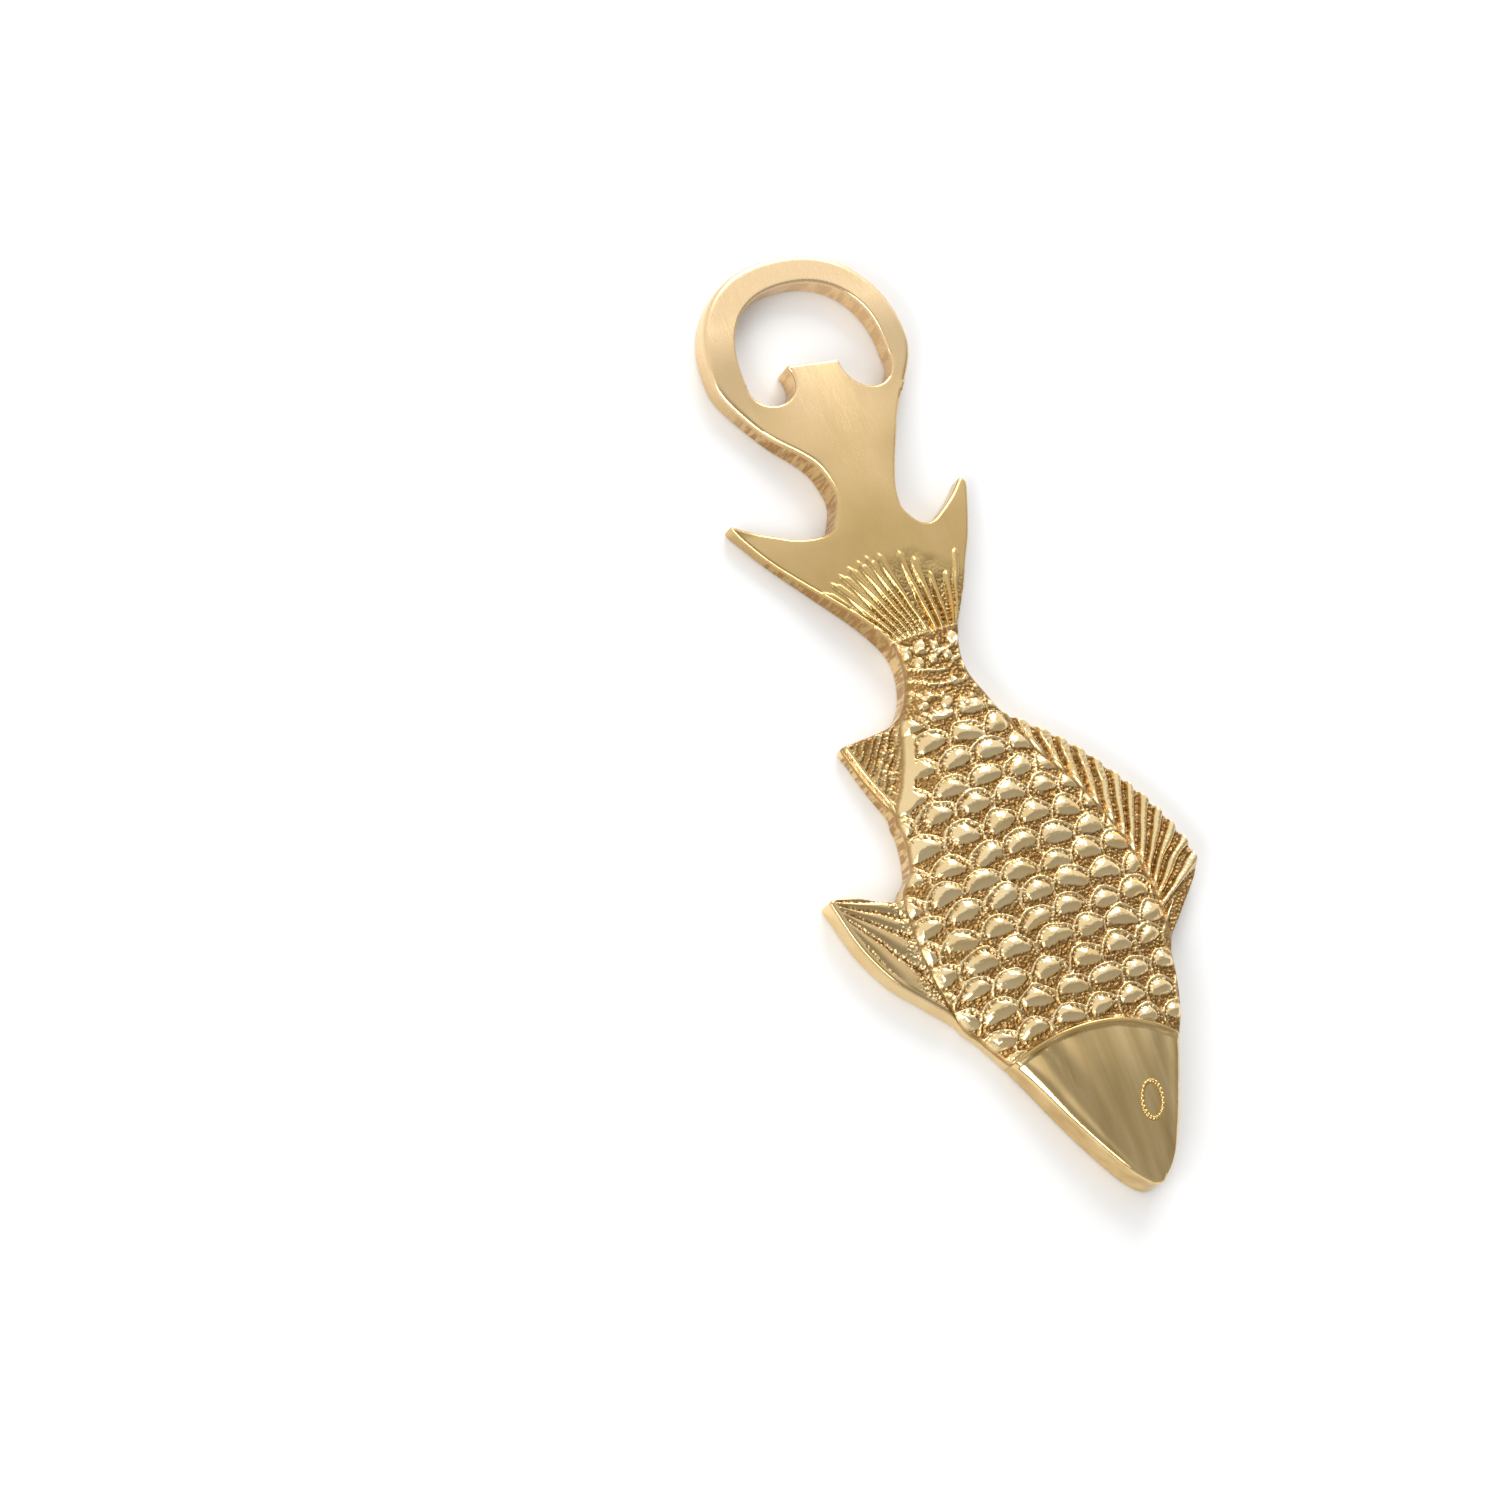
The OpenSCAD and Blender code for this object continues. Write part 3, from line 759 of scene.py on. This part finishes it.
class Outline:
    """Distance to the outline, and what the outline is like at the nearest place."""

    def __init__(self, plan):
        points = plan.points[: plan.outline_count]
        radius = edge_radius(points)
        here, there = np.array(list(plan.outline_edges())).T
        shares = [0, 0.25, 0.5, 0.75]
        t = np.tile(shares, len(here))
        here, there = np.repeat(here, len(shares)), np.repeat(there, len(shares))
        self.radius = radius[here] * (1 - t) + radius[there] * t
        t = t[:, None]
        self.samples = points[here] * (1 - t) + points[there] * t
        self.inward = plan.inward[here] * (1 - t) + plan.inward[there] * t
        self.tree = tree_of(self.samples)

    def measure(self, points):
        """Signed distance inside the outline and the edge radius there."""
        found = [self.tree.find((p[0], p[1], 0)) for p in points]
        nearest = np.array([f[1] for f in found])
        distance = np.array([f[2] for f in found])
        side = ((points - self.samples[nearest]) * self.inward[nearest]).sum(axis=1)
        return np.where(side >= -TINY, distance, -distance), self.radius[nearest]


def inner_points(plan, outline):
    """The points inside the outline: rows that follow it closely, then a lattice."""
    points = plan.points[: plan.outline_count]
    radius = edge_radius(points)
    rows = []
    for turn in ROUNDING_TURNS:
        shift = radius * turned(turn)
        row = points + plan.inward * shift[:, None]
        distance, _ = outline.measure(row)
        rows.append(row[distance > shift - 0.03])
    low, high = points.min(axis=0), points.max(axis=0)
    relief_from, relief_to = node_box("neck")[1][0] - 4, node_box("gill_rim")[1][0] + 0.3
    fine = hexagonal((relief_from, low[1]), (relief_to, high[1]), FINE_STEP)
    plain = np.concatenate([
        hexagonal(low, (relief_from, high[1]), PLAIN_STEP),
        hexagonal((relief_to, low[1]), high, HEAD_STEP),
    ])
    seam_tree = tree_of(plan.points[plan.outline_count:])
    for lattice, step in ((fine, FINE_STEP), (plain, HEAD_STEP)):
        distance, reach = outline.measure(lattice)
        lattice = lattice[distance > reach + 0.45 * step]
        clear = [seam_tree.find((p[0], p[1], 0))[2] > 0.5 * step for p in lattice]
        rows.append(lattice[clear])
    return np.concatenate(rows)


def filed_walls(points):
    """How strongly each outline point's wall is filed: the belly side of the neck, the tail and
    the stalk, the belly between the fins, and the mouth."""
    x, y = points[:, 0], points[:, 1]
    belly = (y < 4) & ~((y < -15.0) & (x < 1)) & ~((x > 18) & (y < -17))
    strength = ramp(x, -52, -46) * (1 - ramp(x, 23, 25)) * belly
    return np.where(in_mouth(x, y), 0.35, strength)


def visible_piece(name, points, faces, layers, material):
    """A piece shown instead of the CAD node of that name, from points in millimetres. The layers
    are the numbers at each point that the materials read."""
    mesh = bpy.data.meshes.new(name)
    mesh.from_pydata((points / MM).tolist(), [], faces)
    mesh.shade_smooth()
    for title, values in layers.items():
        layer = mesh.attributes.new(title, "FLOAT", "POINT")
        layer.data.foreach_set("value", values.astype(np.float32))
    mesh.materials.append(material)
    made = bpy.data.objects.new(name + "_cast", mesh)
    bpy.context.scene.collection.objects.link(made)
    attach(made, "root")
    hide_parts(name)
    return made


class Casting:
    """The whole casting as one surface: front, walls and back, split into regions."""

    def __init__(self):
        self.plan = plan = Plan()
        outline = Outline(plan)
        self.band = Band(plan)
        inner = inner_points(plan, outline)
        flat = np.concatenate([plan.points, inner])
        loops = [plan.region_loop(label) for label in range(len(PLAN_NODES))]
        _, triangles, came_from, in_faces = delaunay(flat, loops)
        number = [source[0] if source else OUTSIDE for source in came_from]
        self.front = [[] for _ in PLAN_NODES]
        for triangle, owners in zip(triangles, in_faces):
            if owners:
                self.front[min(owners)].append(tuple(number[v] for v in triangle))
        distance, radius = outline.measure(flat)
        distance = np.maximum(distance, 0)
        distance[: plan.outline_count] = 0
        height, smooth, patina_and_shade = surface(self.band, flat[:, 0], flat[:, 1], distance)
        drop = np.clip(radius - distance, 0, None)
        height = height - radius + np.sqrt(radius**2 - drop**2)
        self.points = np.concatenate([flat, height[:, None]], axis=1)
        self.layers = {"smooth": smooth, "patina_and_shade": patina_and_shade, "filed": np.zeros(len(flat))}
        self.add_walls(self.back_radius(outline))
        self.add_back(loops, distance)
        self.normals = self.vertex_normals()

    def back_radius(self, outline):
        """Radius of the back edge at each outline point, less where the outline turns sharply."""

        def near(values, reach):
            return [np.roll(values, k) for k in range(-reach, reach + 1)]

        points = self.plan.points[: self.plan.outline_count]
        radius = np.full(len(points), BACK_RADIUS)
        for _ in range(BACK_TRIES):
            distance, _ = outline.measure(points + self.plan.inward * radius[:, None])
            crowded = np.any(near(distance < 0.99 * radius, 3), axis=0)
            radius = np.where(crowded, BACK_SHRINK * radius, radius)
        return np.mean(near(np.min(near(radius, 6), axis=0), 4), axis=0)

    def extend(self, points, filed=0.0):
        """Adds points that are smooth and have no darkening of the colour, neither patina nor
        painted shade. filed is one number, or one for each.
        """
        count = len(points)
        self.points = np.concatenate([self.points, points])
        for title, value in (("smooth", 1.0), ("patina_and_shade", 0.0), ("filed", filed)):
            added = np.broadcast_to(value, count)
            self.layers[title] = np.concatenate([self.layers[title], added])

    def add_walls(self, foot):
        """Columns of points down the walls and round the back edge, one for each outline point.
        foot is the radius of the back edge there."""
        plan, count = self.plan, self.plan.outline_count
        edge = self.points[:count]
        columns = [np.arange(count)]
        for k in range(1, WALL_ROWS + 1):
            z = edge[:, 2] + (foot - edge[:, 2]) * k / WALL_ROWS
            columns.append(len(self.points) + np.arange(count))
            self.extend(np.column_stack([edge[:, :2], z]), filed_walls(edge))
        for turn in BACK_TURNS:
            place = edge[:, :2] + plan.inward * (foot * turned(turn))[:, None]
            z = foot * (1 - math.sin(math.radians(turn)))
            columns.append(len(self.points) + np.arange(count))
            self.extend(np.column_stack([place, z]))
        self.columns = np.array(columns)
        self.walls = [[] for _ in PLAN_NODES]
        for i, j in plan.outline_edges():
            for upper, lower in zip(self.columns, self.columns[1:]):
                self.walls[plan.edge_label[i]].append((upper[i], lower[i], lower[j], upper[j]))

    def add_back(self, loops, distance):
        """The flat back of each region, and the hidden walls along the seams."""
        plan = self.plan
        foot = {i: self.columns[-1][i] for i in range(plan.outline_count)}
        added = []
        for _, numbers in plan.seams:
            for n in numbers[1:-1]:
                if distance[n] > 1.3 * BACK_RADIUS:
                    foot[n] = len(self.points) + len(added)
                    added.append((*plan.points[n], 0.0))
        self.extend(np.array(added))
        used = sorted(foot.values())
        place = {v: k for k, v in enumerate(used)}
        rings = [[place[foot[v]] for v in loop if v in foot] for loop in loops]
        _, triangles, came_from, in_faces = delaunay(self.points[used][:, :2], rings)
        self.back = [[] for _ in PLAN_NODES]
        for triangle, owners in zip(triangles, in_faces):
            if owners:
                a, b, c = (used[came_from[v][0]] for v in triangle)
                self.back[min(owners)].append((c, b, a))
        self.seam_walls = [[] for _ in PLAN_NODES]
        for (one, other), numbers in plan.seams:
            for ring in self.seam_faces(numbers, foot):
                self.seam_walls[one].append(tuple(reversed(ring)))
                self.seam_walls[other].append(tuple(ring))

    def seam_faces(self, numbers, foot):
        """Faces of the hidden wall under a seam, from its first point to its last."""
        left, right = (self.columns[1:, numbers[k]].tolist() for k in (0, -1))
        low = [k for k, n in enumerate(numbers) if 0 < k < len(numbers) - 1 and n in foot]
        if not low:
            return [numbers + right + left[::-1]]
        first, last = low[0], low[-1]
        faces = [numbers[: first + 1] + [foot[numbers[first]]] + left[::-1]]
        for a, b in zip(numbers[first:last], numbers[first + 1:]):
            faces.append([a, b, foot[b], foot[a]])
        return faces + [numbers[last:] + right + [foot[numbers[last]]]]

    def vertex_normals(self):
        """Normals of the outer surface alone, so that the seams don't show."""
        triangles = [face for faces in self.front + self.back for face in faces]
        for faces in self.walls:
            for a, b, c, d in faces:
                triangles += [(a, b, c), (a, c, d)]
        corner = np.array(triangles)
        p = self.points[corner]
        face = np.cross(p[:, 1] - p[:, 0], p[:, 2] - p[:, 0])
        normals = np.zeros_like(self.points)
        for k in range(3):
            np.add.at(normals, corner[:, k], face)
        return normals / np.maximum(np.linalg.norm(normals, axis=1), 1e-12)[:, None]

    def piece(self, label, material):
        """One region of the casting as a closed mesh."""
        name = PLAN_NODES[label]
        faces = self.front[label] + self.walls[label] + self.back[label] + self.seam_walls[label]
        used = sorted({int(v) for face in faces for v in face})
        place = {v: k for k, v in enumerate(used)}
        faces = [[place[int(v)] for v in face] for face in faces]
        layers = {title: values[used] for title, values in self.layers.items()}
        made = visible_piece(name, self.points[used], faces, layers, material)
        made.data.normals_split_custom_set_from_vertices(self.normals[used].tolist())
        return made


# ---------------------------------------------------------------- the eye

EYE_TURN = -20.0  # degrees from the X axis to the eye's length
EYE_LONG, EYE_SHORT, EYE_BAND = 2.95, 1.95, 0.68  # half length, half width, width of the ring
EYE_BEADS = 23
EYE_RISE = 0.36  # height of the ring above the head
EYE_SUNK = 0.02  # how deep its middle line lies in the head
EYE_AROUND, EYE_ACROSS = 160, 10  # points round the ring and round its section
AWAY = 9.0  # a distance from the outline where its edge has no effect


def eye_piece(casting, material):
    """The beaded ring round the eye: a raised band that follows the head."""
    low, high = node_box("eye_ring")
    centre = (low + high)[:2] / 2
    turn = math.radians(EYE_TURN)
    wear_and_shade = hills(np.arange(float(EYE_AROUND)), np.zeros(EYE_AROUND), 9.0, 81)
    points = []
    for i in range(EYE_AROUND):
        a = 2 * math.pi * i / EYE_AROUND
        bead = (0.5 + 0.5 * math.cos(a * EYE_BEADS)) * (1 + 0.5 * wear_and_shade[i])
        for j in range(EYE_ACROSS):
            t = 2 * math.pi * j / EYE_ACROSS
            inset = EYE_BAND / 2 * (1 - math.cos(t) * (0.86 + 0.14 * bead))
            rise = EYE_RISE * math.sin(t) * (0.6 + 0.5 * bead)
            u = (EYE_LONG - inset) * math.cos(a)
            w = (EYE_SHORT - inset) * math.sin(a)
            x = centre[0] + u * math.cos(turn) - w * math.sin(turn)
            y = centre[1] + u * math.sin(turn) + w * math.cos(turn)
            points.append([x, y, rise])
    points = np.array(points)
    count = len(points)
    top, _, _ = surface(casting.band, points[:, 0], points[:, 1], np.full(count, AWAY))
    points[:, 2] += top - EYE_SUNK
    faces = []
    for i in range(EYE_AROUND):
        a, b = i * EYE_ACROSS, (i + 1) % EYE_AROUND * EYE_ACROSS
        for j in range(EYE_ACROSS):
            k = (j + 1) % EYE_ACROSS
            faces.append((a + j, a + k, b + k, b + j))
    layers = {"smooth": np.ones(count), "patina_and_shade": np.zeros(count), "filed": np.zeros(count)}
    return visible_piece("eye_ring", points, faces, layers, material)


# ---------------------------------------------------------------- materials


class Nodes:
    """Short calls for building a material's node tree."""

    def __init__(self, name):
        self.material = bpy.data.materials.new(name)
        self.material.use_nodes = True
        self.tree = self.material.node_tree
        self.shader = self.tree.nodes["Principled BSDF"]

    def add(self, kind, **values):
        node = self.tree.nodes.new(kind)
        for key, value in values.items():
            if hasattr(node, key):
                setattr(node, key, value)
            else:
                node.inputs[key.replace("_", " ")].default_value = value
        return node

    def link(self, source, target):
        self.tree.links.new(source, target)

    def attribute(self, name):
        return self.add("ShaderNodeAttribute", attribute_name=name).outputs["Fac"]

    def place(self, scale):
        """Object coordinates in millimetres, stretched by scale."""
        coordinates = self.add("ShaderNodeTexCoord")
        mapping = self.add("ShaderNodeMapping")
        mapping.inputs["Scale"].default_value = [MM * s for s in scale]
        self.link(coordinates.outputs["Object"], mapping.inputs["Vector"])
        return mapping.outputs["Vector"]

    def metal(self, colour, rough, normal):
        """The finished material of a bare metal."""
        self.link(colour, self.shader.inputs["Base Color"])
        self.link(rough, self.shader.inputs["Roughness"])
        self.link(normal, self.shader.inputs["Normal"])
        self.shader.inputs["Metallic"].default_value = 1.0
        return self.material

    def along(self):
        """Distance along the opener from the CAD origin, in millimetres."""
        split = self.add("ShaderNodeSeparateXYZ")
        self.link(self.place((1, 1, 1)), split.inputs["Vector"])
        return split.outputs["X"]

    def filed(self, colour):
        """Dark scratches across the walls that are filed. Returns the colour and the depth."""
        scratches = self.noise((1.7, 0.35, 0.25), 3.0)
        lines = self.mapped(scratches, 0.44, 0.56, 0, 1)
        depth = self.maths("MULTIPLY", lines, self.attribute("filed"))
        shade = self.maths("MULTIPLY", depth, 0.85)
        return self.blend(shade, colour, FILED_BRASS), depth

    def noise(self, scale, detail):
        """Noise with that many waves per millimetre along each axis."""
        node = self.add("ShaderNodeTexNoise", Scale=1.0, Detail=detail)
        self.link(self.place(scale), node.inputs["Vector"])
        return node.outputs["Fac"]

    def mapped(self, value, low, high, to_low, to_high):
        """The value with its range from low to high stretched to the new one."""
        node = self.add("ShaderNodeMapRange")
        for socket, number in zip(("From Min", "From Max", "To Min", "To Max"),
                                  (low, high, to_low, to_high)):
            node.inputs[socket].default_value = number
        self.link(value, node.inputs["Value"])
        return node.outputs["Result"]

    def maths(self, operation, a, b):
        node = self.add("ShaderNodeMath", operation=operation)
        for socket, value in zip(node.inputs, (a, b)):
            if isinstance(value, (int, float)):
                socket.default_value = value
            else:
                self.link(value, socket)
        return node.outputs["Value"]

    def blend(self, factor, a, b):
        """A colour between a and b, each a colour or an output."""
        node = self.add("ShaderNodeMix", data_type="RGBA")
        self.link(factor, node.inputs["Factor"])
        for socket, value in (("A", a), ("B", b)):
            target = next(i for i in node.inputs if i.name == socket and i.type == "RGBA")
            if isinstance(value, tuple):
                target.default_value = (*value, 1)
            else:
                self.link(value, target)
        return next(o for o in node.outputs if o.type == "RGBA")

    def bump(self, height, distance, normal=None):
        """The normal of a height between 0 and 1 over that distance, in millimetres."""
        node = self.add("ShaderNodeBump", Strength=1.0, Distance=distance / MM)
        self.link(height, node.inputs["Height"])
        if normal is not None:
            self.link(normal, node.inputs["Normal"])
        return node.outputs["Normal"]


BRASS = (0.83, 0.62, 0.31)
PALE_BRASS = (0.88, 0.69, 0.39)
# Patina with painted shade: the colour that the darkened recesses go to.
PATINA_AND_SHADE_BRASS = (0.34, 0.19, 0.06)
OLIVE_BRASS = (0.60, 0.42, 0.18)
# Lit and shaded copies of the satin brass: painted light at the ring's end, painted shade towards
# the tail.
LIT_RING_BRASS = (0.88, 0.65, 0.38)
SHADED_TAIL_BRASS = (0.58, 0.40, 0.16)
FILED_BRASS = (0.42, 0.22, 0.07)
FILE_DEPTH = 0.05  # of the scratches on the filed walls


def satin_brass():
    """Brass rubbed lengthwise with fine abrasive: the ring, the neck, the upper tail."""
    n = Nodes("satin_brass")
    cloud = n.mapped(n.noise((0.09, 0.14, 0.14), 3.0), 0.3, 0.7, -0.12, 0.12)
    # Painted light and shade: the colour goes from the lit brass at the ring's end to the shaded
    # brass towards the tail, with random tone from the cloud on top.
    wear_and_shade = n.maths("ADD", n.mapped(n.along(), -66, -22, 0, 1), cloud)
    colour = n.blend(wear_and_shade, LIT_RING_BRASS, SHADED_TAIL_BRASS)
    # Patina and painted shade darken the recesses, mostly the tail's grooves.
    colour = n.blend(n.attribute("patina_and_shade"), colour, PATINA_AND_SHADE_BRASS)
    colour, depth = n.filed(colour)
    streaks = n.noise((0.22, 9.0, 2.0), 4.0)
    rough = n.mapped(streaks, 0.3, 0.7, 0.18, 0.30)
    return n.metal(colour, rough, n.bump(depth, FILE_DEPTH, n.bump(streaks, 0.005)))


def cast_brass():
    """Brass as cast: bright rubbed tops, and granular recesses darkened by patina and painted
    shade.
    """
    n = Nodes("cast_brass")
    smooth, patina_and_shade = n.attribute("smooth"), n.attribute("patina_and_shade")
    cloud = n.noise((0.2, 0.2, 0.2), 3.0)
    colour = n.blend(n.mapped(cloud, 0.35, 0.65, 0, 1), PALE_BRASS, BRASS)
    # Patina and painted shade darken the recesses between the scales, rays and grains.
    colour = n.blend(n.mapped(patina_and_shade, 0.15, 0.85, 0, 1), colour, PATINA_AND_SHADE_BRASS)
    colour, depth = n.filed(colour)
    speckle = n.mapped(n.noise((5.0, 5.0, 5.0), 2.0), 0.3, 0.7, 0, 0.1)
    rough = n.maths("ADD", n.mapped(smooth, 0, 1, 0.30, 0.11), speckle)
    grit = n.noise((3.6, 3.6, 3.6), 2.0)
    grit = n.maths("MULTIPLY", grit, n.mapped(smooth, 0, 1, 1.0, 0.08))
    return n.metal(colour, rough, n.bump(depth, FILE_DEPTH, n.bump(grit, 0.06)))


def polished_brass():
    """The head, polished almost to a mirror, with long faint streaks."""
    n = Nodes("polished_brass")
    streaks = n.noise((0.03, 0.5, 0.5), 2.0)
    colour = n.blend(n.mapped(streaks, 0.3, 0.7, 0, 1), OLIVE_BRASS, BRASS)
    fine = n.noise((0.3, 6.0, 2.0), 3.0)
    return n.metal(colour, n.mapped(fine, 0.3, 0.7, 0.10, 0.17), n.bump(fine, 0.003))


def floor_material():
    """A plain pale floor with the faintest unevenness."""
    n = Nodes("floor_paper")
    cloud = n.noise((0.01, 0.01, 0.01), 2.0)
    n.link(n.blend(cloud, (0.95, 0.95, 0.95), (0.97, 0.97, 0.97)), n.shader.inputs["Base Color"])
    n.shader.inputs["Roughness"].default_value = 0.7
    return n.material


# ---------------------------------------------------------------- studio

# The camera stands where the photo's perspective puts it. Its place in metres, then its axes:
CAMERA_PLACE = (0.1477, -0.3455, 0.6357)
CAMERA_RIGHT = (0.37204, 0.86259, 0.34281)
CAMERA_UP = (-0.90446, 0.25385, 0.34281)
CAMERA_BACK = (0.20869, -0.43760, 0.87462)
FIELD_OF_VIEW = 16.0  # degrees, across the square frame
SENSOR = 36.0  # millimetres across
FLOOR_HALF = 3.0  # metres from the middle of the floor to its edge
FLOOR_DROP = 0.0002  # metres between the opener's back and the floor

# Grey of the room from the ring's end, 0, to the nose's end, 1
ROOM_ACROSS = [(0.0, 1.0), (0.385, 1.0), (0.44, 0.66), (0.50, 0.46), (0.6, 0.42), (1.0, 0.5)]


def add_camera():
    """A long lens above the fish's belly side, as in the photo."""
    data = bpy.data.cameras.new("camera")
    data.sensor_width = SENSOR
    data.lens = SENSOR / 2 / math.tan(math.radians(FIELD_OF_VIEW / 2))
    camera = bpy.data.objects.new("camera", data)
    turn = Matrix((CAMERA_RIGHT, CAMERA_UP, CAMERA_BACK)).transposed()
    camera.matrix_world = Matrix.Translation(CAMERA_PLACE) @ turn.to_4x4()
    bpy.context.scene.collection.objects.link(camera)
    bpy.context.scene.camera = camera


def add_softbox(name, place, size, power):
    """A rectangular light that faces the origin: metres and watts."""
    data = bpy.data.lights.new(name, "AREA")
    data.shape = "RECTANGLE"
    data.size, data.size_y = size
    data.energy = power
    light = bpy.data.objects.new(name, data)
    light.location = place
    light.rotation_mode = "QUATERNION"
    light.rotation_quaternion = Vector(place).to_track_quat("Z", "Y")
    bpy.context.scene.collection.objects.link(light)


def add_world():
    """A pale room, white towards the ring's end and dimmer towards the fish's nose."""
    world = bpy.data.worlds.new("room")
    world.use_nodes = True
    tree = world.node_tree
    shader = tree.nodes["Background"]
    coordinates = tree.nodes.new("ShaderNodeTexCoord")
    split = tree.nodes.new("ShaderNodeSeparateXYZ")
    tree.links.new(coordinates.outputs["Generated"], split.inputs["Vector"])
    across = tree.nodes.new("ShaderNodeMapRange")
    across.inputs["From Min"].default_value = -1.0
    tree.links.new(split.outputs["X"], across.inputs["Value"])
    ceiling = tree.nodes.new("ShaderNodeValToRGB")
    stops = ceiling.color_ramp.elements
    while len(stops) < len(ROOM_ACROSS):
        stops.new(0.5)
    for stop, (place, grey) in zip(stops, ROOM_ACROSS):
        stop.position = place
        stop.color = (grey, grey, grey, 1)
    tree.links.new(across.outputs["Result"], ceiling.inputs["Fac"])
    tree.links.new(ceiling.outputs["Color"], shader.inputs["Color"])
    shader.inputs["Strength"].default_value = 1.0
    bpy.context.scene.world = world


def add_floor(material):
    """A square floor just under the opener."""
    corners = [(-1, -1), (1, -1), (1, 1), (-1, 1)]
    mesh = bpy.data.meshes.new("floor")
    mesh.from_pydata([(FLOOR_HALF * x, FLOOR_HALF * y, 0) for x, y in corners], [], [(0, 1, 2, 3)])
    mesh.materials.append(material)
    floor = bpy.data.objects.new("floor", mesh)
    floor.location.z = -FLOOR_DROP
    bpy.context.scene.collection.objects.link(floor)


def add_studio():
    add_floor(floor_material())
    add_world()
    add_softbox("key", (-1.12, 0.6, 0.6), (0.8, 1.1), 13)
    add_softbox("fill", (0.4, -1.3, 0.8), (1.2, 0.7), 14)
    add_camera()
    bpy.context.scene.view_settings.view_transform = "Standard"


# ---------------------------------------------------------------- assembly

SLOTS = {
    "satin_brass": ["ring", "prying_tooth", "neck", "tail_fin", "gill_rim"],
    "cast_brass": ["tail_stalk", "body", "dorsal_fin", "anal_fin", "pelvic_fin"],
    "polished_brass": ["head"],
}
FINISHES = {
    "satin_brass": satin_brass(),
    "cast_brass": cast_brass(),
    "polished_brass": polished_brass(),
}

casting = Casting()
for slot, names in SLOTS.items():
    for name in names:
        casting.piece(PLAN_NODES.index(name), FINISHES[slot])
eye_piece(casting, FINISHES["satin_brass"])
add_studio()

bpy.context.view_layer.update()
